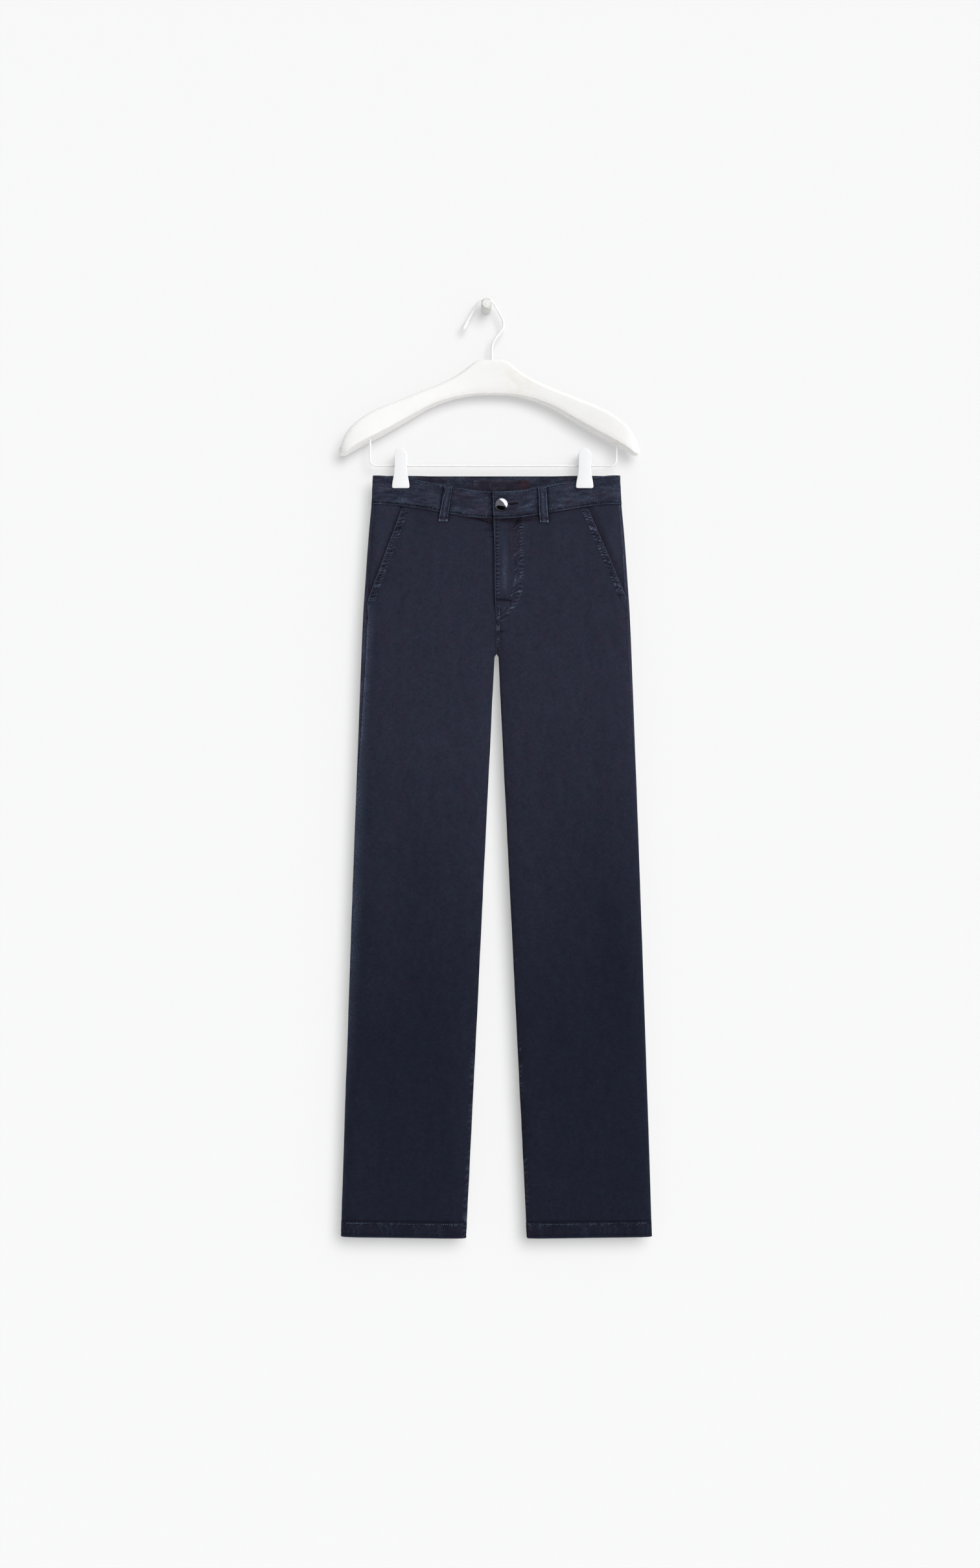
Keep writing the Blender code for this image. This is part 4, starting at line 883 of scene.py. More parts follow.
for side, tag in ((-1, "r"), (1, "l")):
    x, drop, face, v, girth = band_grid(side)
    if side > 0:
        lead = x - read(FLY, "edge", drop)
    else:
        lead = x + read(FLY, "edge", drop)
    m = band_marks(side, x, v, face, lead)
    if side > 0:
        base = np.zeros_like(x)
    else:
        fly = -read(FLY, "edge", drop)
        base = np.where(face < 0, -(BAND + LAYER) * soft((fly + 9.0 - x) / 7.0), 0.0)
        m.out = m.out * np.where(face < 0, 1.0 - 0.8 * soft((fly + 5.0 - x) / 7.0), 1.0)
    clear = 1.0 - 0.75 * (np.exp(-(((side * x - (CLIP_R - CENTRE_X)) / 16.0) ** 4)) + np.exp(-(((side * x - (CLIP_L - CENTRE_X)) / 16.0) ** 4))) * soft((26.0 - drop) / 8.0)
    m.out = np.minimum(m.out * clear, 0.55)
    tone = np.clip(tone_of(side * x, drop, -1) + 0.18, 0.0, 1.0)
    signed = side * x + np.where(face > 0, 400.0, 0.0)
    within = {
        "wear": np.clip(0.14 + 0.16 * cloud(signed, drop, 12.0, 5.0, 137) + 0.10 * cloud(signed, drop, 3.4, 3.0, 138), 0.0, 1.0),
        "dark": np.clip(0.10 + 0.30 * cloud(signed, drop, 9.0, 7.0, 139) + 0.5 * ridge(drop - waist_edge(x, face), 0.0, 1.4), 0.0, 1.0),
        "red": np.clip(0.35 * cloud(signed, drop, 14.0, 6.0, 140), 0.0, 1.0),
    }
    outside = surface(side * x, drop, face, base + m.out)
    inside = surface(side * x, drop, face, base - BAND)
    name = f"band_{tag}"
    cloth_pieces[name] = (
        shell(name, outside, inside, (drop * MM + 2.0, girth * MM * side), labels(m, tone), within),
        (f"waistband_{tag}",),
        outside,
    )

# The piece behind the fly, as it shows in the gap, darkened all over with painted shade.
columns = steps(-15.0, (33.0, 2.4))[None, :]
levels = steps(0.0, (1.0, 0.02))[:, None]
x = columns + 0.0 * levels
first = band_seam(x, -1) + GAP
last = 196.0 - 22.0 * ((x + 15.0) / 48.0) ** 2
drop = first + levels * (last - first)
m = Marks(x)
m.dark += 0.6
outside = surface(x, drop, -1, -2.0 * (CLOTH + LAYER))
inside = surface(x, drop, -1, -2.0 * (CLOTH + LAYER) - FACING)
cloth_pieces["fly_back"] = (shell("fly_back", outside, inside, (x * MM + 3.0, drop * MM), labels(m, tone_of(x, drop, -1))), ("fly_shield",), outside)


# ---------------------------------------------------------------- belt loops
def loop_at(name, v, across):
    """Point on a belt loop: v down its length, across from -1 to 1; height over the form and drop."""
    face, x_top, x_end = LOOPS[name]
    middle = x_top + (x_end - x_top) * v
    twist = 0.0
    if name == "belt_loop_front_r":
        middle = middle + 1.1 * np.sin(np.pi * np.clip(v, 0.0, 1.0)) * (1.0 - v)
        twist = 0.55 * np.sin(np.pi * np.clip(v * 1.2, 0.0, 1.0)) * across
    elif name == "belt_loop_front_l":
        middle = middle - 0.6 * np.sin(np.pi * v)
        twist = -0.75 * np.sin(np.pi * np.clip(v, 0.0, 1.0)) ** 0.7 * across
    half = 0.5 * LOOP_WIDTH * (1.0 - 0.06 * np.sin(np.pi * v))
    x = middle + half * across
    if name == "belt_loop_front_r":
        x = x + 2.3 * ridge(v, 0.17, 0.12) * (0.5 - 0.5 * across)
    elif name == "belt_loop_front_l":
        x = x - 1.3 * ridge(v, 0.04, 0.14) * (0.5 + 0.5 * across)
    top = waist_edge(middle, face) + 0.2
    drop = top + v * (band_seam(middle, face) + LOOP_BELOW - top)
    belly = 1.5 * np.sin(np.pi * np.clip(v, 0.0, 1.0)) ** 0.8
    return face, x, drop, LAYER + 0.25 + LOOP + belly + twist


for name in LOOPS:
    v = steps(0.0, (6.0, 0.6), (50.0, 0.9), (54.0, 0.55), (55.0, 0.35))[:, None] / 55.0
    across = steps(-1.0, (-0.9, 0.05), (0.9, 0.1), (1.0, 0.05))[None, :]
    v, across = v + 0.0 * across, across + 0.0 * v
    face, x, drop, high = loop_at(name, v, across)
    m = Marks(x)
    s = v * 55.0
    edge = (1.0 - np.abs(across)) * 0.5 * LOOP_WIDTH
    seed = 200 + 7 * list(LOOPS).index(name)
    m.out += 0.26 * ridge(edge, 3.6, 1.3) - 0.24 * ridge(edge, 2.0, 0.6) - 0.16 * ridge(edge, 0.0, 0.8)
    m.out += 0.20 * cloud(s, across, 8.0, 0.6, seed) + 0.12 * puckers(s, 3.4, seed + 1) * ridge(edge, 2.0, 2.0)
    m.wear += 0.04 + 0.40 * ridge(edge, 0.5, 0.6) * (0.65 + 0.35 * cloud(s, across, 4.0, 0.7, seed + 4)) + 0.26 * ridge(across, 0.05, 0.28) * (0.6 + 0.4 * cloud(s, across, 3.0, 0.5, seed + 2))
    m.wear += 0.07 * cloud(s, across, 5.0, 0.45, seed + 3)
    # Painted shade along the stitch grooves, and across the loop just above its foot.
    m.dark += 0.6 * ridge(edge, 2.0, 0.6) * (0.75 + 0.25 * puckers(s, 2.9, seed + 5))
    m.out -= 0.5 * ridge(s, 52.0, 1.4) + 0.35 * ridge(s, 1.6, 1.2)
    m.dark += 0.45 * ridge(s, 49.0, 1.6)
    m.wear += 1.20 * ridge(s, 53.6, 1.4) * ridge(np.abs(across), 0.82, 0.22) + 0.34 * ridge(s, 54.4, 0.6) + 0.50 * ridge(s, 0.9, 1.1) * ridge(np.abs(across), 0.78, 0.24)
    m.red += 0.25 * ridge(s, 50.0, 3.0)
    if name == "belt_loop_front_r":  # its edges curl at the top
        curl = -0.94 + 0.50 * ridge(s, 4.0, 5.5)
        m.wear += 0.50 * ridge(across, curl, 0.10)
        # Painted shade beside the curled edge.
        m.dark += 0.70 * ridge(across, curl - 0.22, 0.12) * soft((46.0 - s) / 14.0)
        m.out += 0.35 * ridge(across, curl, 0.16) * soft((20.0 - s) / 10.0)
    elif name == "belt_loop_front_l":
        curl = 0.94 - 0.9 * ridge(s, 1.5, 5.0)
        m.wear += 0.46 * ridge(across, curl, 0.10) + 0.22 * ridge(across, -0.92, 0.10)
        # Painted shade beside the curl and along a line near the other edge.
        m.dark += 0.60 * ridge(across, curl - 0.2, 0.12) * soft((20.0 - s) / 8.0) + 0.45 * ridge(across, -0.60, 0.10)
        m.out += 0.35 * ridge(across, curl, 0.16) * soft((20.0 - s) / 10.0)
    outside = surface(x, drop, face, high + m.out)
    inside = surface(x, drop, face, high - LOOP)
    piece = name.replace("belt_", "")
    cloth_pieces[piece] = (shell(piece, outside, inside, (x * MM + 4.0, drop * MM), labels(m, 0.3 + 0.0 * x)), (name,), outside)

# ---------------------------------------------------------------- the bare patch inside the back band
x = steps(LABEL[0], (LABEL[1], 1.4))[None, :]
drop = steps(LABEL[2], (LABEL[3], 1.2))[:, None] + 0.0 * x
x = x + 0.0 * drop
m = Marks(x)
edge = np.minimum(np.minimum(x - LABEL[0], LABEL[1] - x), np.minimum(drop - LABEL[2], LABEL[3] - drop))
m.out = 0.18 * cloud(x, drop, 12.0, 8.0, 171) - 0.25 * (1.0 - soft(edge / 1.2))
m.wear = 0.46 * ridge(edge, 1.0, 0.7) * (0.7 + 0.3 * cloud(x, drop, 5.0, 5.0, 176)) + 0.12 * soft(cloud(x, drop, 7.0, 5.0, 173))
m.red = soft((x - 34.0) / 2.5) * (0.62 + 0.30 * cloud(x, drop, 4.0, 4.0, 172)) + 0.04 * soft(cloud(x, drop, 14.0, 6.0, 174) + 0.3)
m.dark = 0.16 + 0.10 * soft((x - 34.0) / 2.5) * cloud(x, drop, 3.5, 3.5, 177) + 0.26 * cloud(x, drop, 9.0, 6.0, 175) + 0.4 * ridge(edge, 1.8, 0.8)
outside = surface(x, drop, 1, -(BAND + LAYER + 0.8) - 0.0 * x + m.out * -1.0 - 0.0)
inside = surface(x, drop, 1, -(BAND + LAYER) + 0.0 * x)
patch = shell("inner_patch", outside, inside, (x * MM + 5.0, drop * MM), labels(m, 0.0 * x))
cloth_pieces["inner_patch"] = (patch, ("inner_label",), outside)


# ---------------------------------------------------------------- threads
def stitched(name, runs, sides=6):
    """Separate stitches as one mesh. A run is (x, drop, face, out, length, pitch, radius, seed), how pale if not 1
    (below zero, needle holes: specks of painted shade), and where the first starts.
    """
    points, faces, pale = [], [], []
    count = 0
    for x, drop, face, out, length, pitch, radius, seed, *dim in runs:
        x, drop, face, out = (np.array(a, float) for a in np.broadcast_arrays(x, drop, face, out))
        s = np.concatenate([[0.0], np.cumsum(np.hypot(np.diff(x), np.diff(drop)))])
        n = int((s[-1] - length) / pitch)
        if n < 1:
            continue
        rng = np.random.default_rng(seed)
        first = np.arange(n) * pitch + rng.uniform(-0.12, 0.12, n) * pitch + (dim[1] if len(dim) > 1 else 0.2 * pitch)
        if len(dim) > 1:
            n = int((first + 1.2 * length < s[-1]).sum())
            first = first[:n]
        long = length * rng.uniform(0.85, 1.12, n)
        t = first[:, None] + long[:, None] * np.array((0.0, 0.22, 0.5, 0.78, 1.0))[None, :]
        wobble = rng.uniform(-0.12, 0.12, (n, 1)) + rng.uniform(-0.14, 0.14, (n, 1)) * np.linspace(-1.0, 1.0, 5)[None, :]
        px, pd, po = np.interp(t, s, x), np.interp(t, s, drop), np.interp(t, s, out)
        pf = np.where(np.interp(t, s, face) < 0.0, -1.0, 1.0)
        tx, td = np.gradient(x, s), np.gradient(drop, s)
        nx, nd = -np.interp(t, s, td), np.interp(t, s, tx)
        px, pd = px + wobble * nx, pd + wobble * nd
        arch = np.array((-0.32, 0.02, 0.15, 0.02, -0.32))[None, :]
        p = surface(px, pd, pf, po + arch)
        up = surface(px, pd, pf, po + arch + 1.0) - p
        up /= np.linalg.norm(up, axis=-1, keepdims=True)
        go = np.gradient(p, axis=1)
        go /= np.linalg.norm(go, axis=-1, keepdims=True)
        over = np.cross(go, up)
        over /= np.linalg.norm(over, axis=-1, keepdims=True)
        up = np.cross(over, go)
        a = np.arange(sides) / sides * 2.0 * np.pi
        wide = radius * np.array((0.55, 0.95, 1.1, 0.95, 0.55))[None, :, None, None] * MM
        rings = p[:, :, None, :] + wide * (np.cos(a)[None, None, :, None] * over[:, :, None, :] + np.sin(a)[None, None, :, None] * up[:, :, None, :])
        tips = np.stack([p[:, 0] - go[:, 0] * 0.25 * radius * MM, p[:, -1] + go[:, -1] * 0.25 * radius * MM], 1)
        block = np.concatenate([rings.reshape(n, -1, 3), tips], 1)
        per = block.shape[1]
        quads, tris = [], []
        for j in range(4):
            for k in range(sides):
                m2 = (k + 1) % sides
                quads.append((j * sides + k, j * sides + m2, (j + 1) * sides + m2, (j + 1) * sides + k))
        for k in range(sides):
            m2 = (k + 1) % sides
            tris.append((per - 2, m2, k))
            tris.append((per - 1, 4 * sides + k, 4 * sides + m2))
        offsets = count + per * np.arange(n)[:, None, None]
        faces += (np.array(quads)[None] + offsets).reshape(-1, 4).tolist() + (np.array(tris)[None] + offsets).reshape(-1, 3).tolist()
        points.append(block.reshape(-1, 3))
        tint = np.clip(0.45 + 0.6 * ragged(first, 4.0 * pitch, seed + 3) + rng.uniform(-0.35, 0.35, n), 0.0, 1.0)
        tint = dim[0] + 0.0 * tint if dim and dim[0] < 0.0 else tint * (dim[0] if dim else 1.0)
        pale.append(np.repeat(tint, per))
        count += per * n
    points = np.concatenate(points)
    mesh = bpy.data.meshes.new(name)
    mesh.from_pydata(points.tolist(), [], faces)
    mesh.shade_smooth()
    attribute(mesh, "pale", np.concatenate(pale))
    thing = bpy.data.objects.new(name, mesh)
    bpy.context.scene.collection.objects.link(thing)
    return thing


def path(points, space=0.8):
    """Dense points along a polyline of (x, drop) pairs."""
    p = np.array(points, float)
    s = np.concatenate([[0.0], np.cumsum(np.hypot(*np.diff(p, axis=0).T))])
    t = np.linspace(0.0, s[-1], max(3, int(s[-1] / space)))
    ease = [np.interp(t, s, p[:, k]) for k in (0, 1)]
    if len(p) > 2:  # round the corners of the table
        kernel = np.ones(9) / 9.0
        for k in (0, 1):
            padded = np.concatenate([np.full(4, ease[k][0]), ease[k], np.full(4, ease[k][-1])])
            smooth = np.convolve(padded, kernel, "valid")
            smooth[0], smooth[-1] = ease[k][0], ease[k][-1]
            ease[k] = smooth
    return ease


def on_front(side, x, drop):
    m = front_marks(side, x, drop)
    return draped(side * x, drop, -1) + m.out


def tack(x0, d0, x1, d1, face, out, seed, wide=2.0, space=0.42, radius=0.22):
    """A bar tack: close short stitches across a bar from one end to the other."""
    run = math.hypot(x1 - x0, d1 - d0)
    ax, ad = (x1 - x0) / run, (d1 - d0) / run
    runs = []
    for k in range(max(2, int(run / space))):
        cx, cd = x0 + ax * k * space, d0 + ad * k * space
        runs.append((np.array((cx - ad * wide * 0.5, cx + ad * wide * 0.5 + 1e-3)), np.array((cd + ax * wide * 0.5, cd - ax * wide * 0.5)), face, out, wide * 0.97 - 0.02, wide * 0.01, radius, seed + k))
    return runs


def one(runs):
    """Only the first stitch of each run."""
    made = []
    for x, drop, face, out, length, pitch, radius, seed in runs:
        made.append((x, drop, face, out, length, length * 0.999, radius, seed, 0.75))
    return made


thread_pieces = {}
for side, tag in ((-1, "r"), (1, "l")):
    runs = []
    p = POCKETS[side]
    lean = (p["end_x"] - p["top_x"]) / (p["end"] - p["top"])
    c = 1.0 / math.hypot(1.0, lean)
    for d, seed in ((2.4, 301), (8.5, 303)):
        drop = np.linspace(p["top"] + 3.0, p["end"] - 1.0, 180)
        x = pocket_mouth(side, drop) - d / c
        runs.append((side * x, drop, -1, on_front(side, x, drop) + 0.05, 1.5, 3.3, 0.23, seed + side, 0.60))
    inner = NOTCH + INSEAM_SPREAD * (OUTSEAM - RISE)
    x = np.linspace(inner + 3.0, 223.0, 260)
    drop = hem_drop(x) - 20.4
    runs.append((side * x, drop, -1, on_front(side, x, drop) + 0.12, 2.1, 3.2, 0.26, 311 + side, 0.8))
    if side > 0:
        for points, seed in ((J_OUTER, 321), (J_INNER, 323)):
            x, drop = path(points)
            runs.append((x, drop, -1, on_front(1, x, drop) + 0.02, 1.8, 3.0, 0.24, seed, 0.22))
        drop = np.linspace(188.0, 258.0, 90)
        x = 4.4 + 0.0 * drop
        runs.append((x, drop, -1, on_front(1, x, drop) + 0.08, 1.8, 2.8, 0.24, 325, 0.55))
        runs += one(tack(3.0, 229.2, 11.0, 228.6, -1, float(on_front(1, np.array([7.5]), np.array([229.0]))[0]) + 0.35, 331))
    end = p["end"] - 1.5
    ex = pocket_mouth(side, end)
    runs += one(tack(side * (ex - 9.0), end + 1.0, side * (ex + 0.5), end - 1.5, -1, float(on_front(side, np.array([ex - 4.0]), np.array([end]))[0]) + 0.4, 341 + 50 * side, wide=2.2))
    thread_pieces[f"threads_front_{tag}"] = (stitched(f"threads_front_{tag}", runs), f"front_{tag}")

    runs = []
    x = np.linspace(inner + 3.0, 223.0, 260)
    drop = hem_drop(x) - 20.4
    m = back_marks(side, x, drop)
    runs.append((side * x, drop, 1, draped(side * x, drop, 1) + m.out + 0.12, 2.1, 3.2, 0.26, 351 + side))
    drop = np.linspace(48.0, 244.0, 240)
    x = 4.6 + 0.0 * drop
    m = back_marks(side, x, drop)
    runs.append((side * x, drop, 1, draped(side * x, drop, 1) + m.out + 0.10, 2.0, 3.1, 0.24, 353 + side))
    thread_pieces[f"threads_back_{tag}"] = (stitched(f"threads_back_{tag}", runs), f"back_{tag}")

    # The waistband's two rows, front and back, and round its fly end.
    runs = []
    lead0 = 2.5 - 5.5 if side > 0 else 6.5
    for t, seed in ((1.9, 361), (None, 363)):
        for face, x0, x1 in ((-1, lead0, 178.0), (1, 2.0, 178.0)):
            x = np.linspace(x0, x1, 330)
            tall = band_seam(x, face) - waist_edge(x, face)
            v = (t / tall) if t else (1.0 - 2.6 / tall)
            drop = waist_edge(x, face) + v * tall
            lead = x - read(FLY, "edge", drop) if side > 0 else x + read(FLY, "edge", drop)
            m = band_marks(side, x, v, face + 0.0 * x, lead)
            near = np.exp(-(((side * x - (CLIP_R - CENTRE_X)) / 14.0) ** 4)) + np.exp(-(((side * x - (CLIP_L - CENTRE_X)) / 14.0) ** 4))
            keep = np.ones_like(x, bool) if t is None else near < 0.4
            # Split where a clip covers the row.
            cut = np.flatnonzero(np.diff(keep.astype(int))) + 1
            for part in np.split(np.arange(len(x)), cut):
                if keep[part[0]] and len(part) > 6:
                    level = np.minimum(m.out[part], 0.55)
                    seed_here = seed + 5 * face + side + int(part[0])
                    # Runs with a pale value below zero are needle holes: dark specks of painted shade beside the
                    # stitches.
                    if t:
                        runs.append((side * x[part], drop[part], face, level + 0.12, 1.70, 2.90, 0.30, seed_here, 0.85))
                        runs.append((side * x[part], drop[part], face, level + 0.06, 0.75, 2.90, 0.34, seed_here, -0.3, 2.65))
                    else:
                        runs.append((side * x[part], drop[part], face, level + 0.10, 1.60, 3.20, 0.24, seed_here, 0.45))
                        runs.append((side * x[part], drop[part], face, level + 0.12, 1.05, 3.20, 0.56, seed_here, -0.6, 2.55))
    if side > 0:
        drop = np.linspace(27.0, 62.0, 40)
        x = read(FLY, "edge", drop) + 2.4
        runs.append((x, drop, -1, 0.12 + 0.0 * x, 1.7, 2.7, 0.22, 371))
        # Buttonhole: close purl stitches along both lips and round the far end.
        for k in range(34):
            hx = BUTTON_X + 9.6 + k * 0.46
            hd = BUTTON_DROP - (FRONT_DIP - float(waist_edge(np.array(hx), -1)))
            for up in (-1.0, 1.0):
                runs.append((np.array((hx, hx + 0.02)), np.array((hd + up * 1.25, hd + up * 2.7)), -1, 0.36, 1.40, 1.399, 0.2, 381 + k, 0.30))
        hd = BUTTON_DROP - (FRONT_DIP - float(waist_edge(np.array(HOLE_END), -1)))
        for k in range(9):
            a = -1.3 + 2.6 * k / 8.0
            ca, sa = math.cos(a), math.sin(a)
            cx = HOLE_END - 0.6
            runs.append((np.array((cx + 0.9 * ca, cx + 2.5 * ca)), np.array((hd + 0.9 * sa, hd + 2.5 * sa)), -1, 0.36, 1.56, 1.55, 0.2, 431 + k, 0.30))
    thread_pieces[f"threads_band_{tag}"] = (stitched(f"threads_band_{tag}", runs), f"band_{tag}")

runs = []
for name in LOOPS:
    for across in (-0.68, 0.68):
        v = np.linspace(0.04, 0.93, 60)
        face, x, drop, high = loop_at(name, v, across + 0.0 * v)
        runs.append((x, drop, face, high - 0.12, 1.8, 2.9, 0.21, 451 + 3 * list(LOOPS).index(name) + int(across > 0), 0.30))
    for v in (0.035, 0.952):
        face, xa, da, high = loop_at(name, np.array(v), np.array(-0.92))
        _, xb, db, _ = loop_at(name, np.array(v), np.array(0.92))
        bar = tack(float(xa), float(da), float(xb), float(db), face, float(high) + 0.12, 471, wide=1.7, space=0.45)
        runs += one(bar)
thread_pieces["threads_loops"] = (stitched("threads_loops", runs), "loop_front_r")
# ---------------------------------------------------------------- hard parts
def solid(name, points, faces, sharp=38.0, **values):
    mesh = bpy.data.meshes.new(name)
    mesh.from_pydata([tuple(p) for p in points], [], faces)
    mesh.validate()
    mesh.shade_smooth()
    mesh.set_sharp_from_angle(angle=math.radians(sharp))
    for label, value in values.items():
        attribute(mesh, label, np.array(value))
    thing = bpy.data.objects.new(name, mesh)
    bpy.context.scene.collection.objects.link(thing)
    return thing


def lofted(rings):
    """Points and faces of a closed skin through rings of equal counts, with a fan at each end."""
    n = len(rings[0])
    points = [p for ring in rings for p in ring]
    faces = []
    for j in range(len(rings) - 1):
        for k in range(n):
            m2 = (k + 1) % n
            faces.append((j * n + k, j * n + m2, (j + 1) * n + m2, (j + 1) * n + k))
    for j, turn in ((0, True), (len(rings) - 1, False)):
        middle = sum((Vector(p) for p in rings[j]), Vector()) / n
        points.append(tuple(middle))
        c = len(points) - 1
        for k in range(n):
            m2 = (k + 1) % n
            faces.append((c, j * n + m2, j * n + k) if turn else (c, j * n + k, j * n + m2))
    return points, outward(points, faces)


def outward(points, faces):
    p = np.array([tuple(q) for q in points])
    total = 0.0
    for f in faces:
        for k in range(1, len(f) - 1):
            total += float(np.dot(p[f[0]], np.cross(p[f[k]], p[f[k + 1]])))
    return [tuple(reversed(f)) for f in faces] if total < 0 else faces


def through(points, count):
    p = [Vector(q) for q in points]
    p = [2 * p[0] - p[1], *p, 2 * p[-1] - p[-2]]
    found = []
    for a, b, c, d in zip(p, p[1:], p[2:], p[3:]):
        for k in range(count):
            t = k / count
            found.append(0.5 * ((2 * b) + (c - a) * t + (2 * a - 5 * b + 4 * c - d) * t * t + (3 * b - a - 3 * c + d) * t**3))
    return [*found, p[-2]]


def tube(name, points, radius, sides=20, blunt=0.35):
    """A round rod in the plane of the wall along points in metres, with rounded ends. radius is a number or one a point."""
    p = [Vector(q) for q in points]
    size = list(radius) if hasattr(radius, "__len__") else [radius] * len(p)
    rings = []
    for k, q in enumerate(p):
        go = (p[min(k + 1, len(p) - 1)] - p[max(k - 1, 0)]).normalized()
        over = Vector((0.0, 1.0, 0.0))
        other = go.cross(over).normalized()
        ring = [q + (over * math.cos(a) + other * math.sin(a)) * size[k] * MM for a in (i / sides * math.tau for i in range(sides))]
        rings.append(ring)
        if k in (0, len(p) - 1):
            back = -go if k == 0 else go
            caps = []
            for w, push in ((0.93, 0.5), (0.7, 0.85), (0.35, 1.0)):
                caps.append([q + back * push * blunt * size[k] * MM + (r - q) * w for r in ring])
            if k == 0:
                rings = list(reversed(caps)) + rings
            else:
                rings += caps
    points, faces = lofted(rings)
    return solid(name, points, faces)


def eased(column, q):
    """A column of the hanger's table, read through a smooth curve."""
    s, v = HANGER["share"], HANGER[column]
    slope = np.gradient(v, s)
    slope[0] = 0.0
    k = np.clip(np.searchsorted(s, q) - 1, 0, len(s) - 2)
    h = s[k + 1] - s[k]
    t = (q - s[k]) / h
    chord = (v[k + 1] - v[k]) / h
    a, b = slope[k], slope[k + 1]
    if a * chord <= 0:
        a = 0.0
    if b * chord <= 0:
        b = 0.0
    a = math.copysign(min(abs(a), 3 * abs(chord)), a)
    b = math.copysign(min(abs(b), 3 * abs(chord)), b)
    return v[k] * (1 + 2 * t) * (1 - t) ** 2 + v[k + 1] * t * t * (3 - 2 * t) + h * (a * t * (1 - t) ** 2 - b * t * t * (1 - t))


def hanger_section(share):
    q = min(abs(share), 1.0)
    top, bottom, thick, ahead, bevel = (float(eased(c, q)) for c in ("top", "bottom", "thick", "forward", "bevel"))
    y0, y1 = -0.5 * thick, 0.5 * thick
    tall = bottom - top
    r = min(0.36 * thick, 0.30 * tall, 6.5)
    lip = min(1.5, 0.2 * thick, 0.2 * tall)
    corners = ((y0, -top, r), (y1, -top, r), (y1, -bottom, min(0.22 * thick, 0.22 * tall)), (y0, -bottom + bevel, lip))
    centre = (0.0, -0.5 * (top + bottom))
    ring = []
    for k, (cy, cz, radius) in enumerate(corners):
        before, after = corners[k - 1], corners[(k + 1) % 4]
        a = Vector((before[0] - cy, before[1] - cz)).normalized()
        b = Vector((after[0] - cy, after[1] - cz)).normalized()
        for t in np.linspace(0.0, 1.0, 9):
            p = Vector((cy, cz)) + a * radius * (1 - t) ** 2 + b * radius * t**2
            ring.append(p)
        here, there = Vector((cy, cz)) + b * radius, Vector((after[0], after[1])) - b * after[2]
        for t in (0.25, 0.5, 0.75):
            ring.append(here.lerp(there, t))
    x = HANGER_X + share * (SPAN_R if share < 0 else SPAN_L)
    belly = 0.5 * math.sin(math.pi * min(1.0, q / 0.95))
    found = []
    for p in ring:
        swell = -belly * max(0.0, 1.0 - ((p[1] - centre[1]) / (0.5 * tall)) ** 2) if p[0] < y0 + 0.5 else 0.0
        found.append(Vector((x, HOOK_Y - ahead + p[0] + swell, HANGER_TOP + p[1])) * MM)
    return found


shares = sorted(set([*np.linspace(-0.93, 0.93, 125).tolist(), *np.linspace(0.93, 1.0, 15).tolist(), *np.linspace(-1.0, -0.93, 15).tolist()]))
rings = [hanger_section(s) for s in shares]
for end in (0, -1):
    ring = rings[end]
    middle = sum(ring, Vector()) / len(ring)
    push = Vector(((-1.0 if end == 0 else 1.0) * MM, 0.0, 0.0))
    caps = [[middle + (p - middle) * w + push * d for p in ring] for w, d in ((0.86, 0.55), (0.55, 1.0))]
    rings = caps[::-1] + rings if end == 0 else rings + caps
points, faces = lofted(rings)
where = np.array([tuple(p) for p in points]) / MM
beige = (soft((where[:, 0] - 12.0) / 20.0) * soft((95.0 - where[:, 0]) / 40.0) + 0.22 * soft((where[:, 0] - 90.0) / 60.0)) * (0.55 + 0.45 * cloud(where[:, 0], where[:, 2], 13.0, 9.0, 501))
edge_q = np.abs(where[:, 0] - HANGER_X) / 219.0
top_line = HANGER_TOP - np.interp(edge_q, HANGER["share"], HANGER["top"])
low_line = HANGER_TOP - np.interp(edge_q, HANGER["share"], HANGER["bottom"])
# Painted shade: a thin brownish line along the top edges, stronger on the left, and a greyer band along the underside.
grime = ridge(top_line - where[:, 2], 1.0, 2.4) * (0.14 + 0.12 * soft((10.0 - where[:, 0]) / 20.0)) + 0.30 * ridge(where[:, 2] - low_line, 3.0, 4.0)
hanger = solid("hanger_arms", points, faces, sharp=30.0, beige=np.clip(beige, 0, 1), grime=np.clip(grime, 0, 1))

hook = tube("hook_wire", through([(x * MM, HOOK_Y * MM, z * MM) for x, z in HOOK], 9), HOOK_WIRE)
a, b = (Vector((x * MM, HOOK_Y * MM, z * MM)) for x, z in HOOK_TIP)
tip_points = [a.lerp(b, t) for t in (0.0, 0.05, 0.12, 0.25, 0.5, 0.75, 0.88, 0.95, 1.0)]
tip = tube("hook_sleeve", tip_points, [2.3, 2.65, 2.78, 2.82, 2.8, 2.76, 2.74, 2.6, 2.2], blunt=0.25)


def arm_foot(x):
    q = (x - HANGER_X) / (SPAN_L if x > HANGER_X else SPAN_R)
    return HANGER_TOP - np.interp(abs(q), HANGER["share"], HANGER["bottom"])


bend = [k * math.pi / 28 for k in range(15)]
bar_points = [(BAR_R, arm_foot(BAR_R) + 9.0 - t) for t in (0.0, 6.0, 12.0, 18.0)]
bar_points += [(BAR_R + BAR_CORNER * (1 - math.cos(t)), BAR_Z + BAR_CORNER * (1 - math.sin(t))) for t in bend]
bar_points += [(x, BAR_Z) for x in np.linspace(BAR_R + BAR_CORNER + 10.0, BAR_L - BAR_CORNER - 10.0, 24)]
bar_points += [(BAR_L - BAR_CORNER * (1 - math.cos(t)), BAR_Z + BAR_CORNER * (1 - math.sin(t))) for t in reversed(bend)]
bar_points += [(BAR_L, arm_foot(BAR_L) + 9.0 - t) for t in (18.0, 12.0, 6.0, 0.0)]
# A slight sag, as wire has.
bar = tube("bar_wire", [Vector((x, MID_Y, z - 0.25 * math.exp(-((x - 5.0) / 90.0) ** 2))) * MM for x, z in bar_points], BAR_WIRE, sides=16)


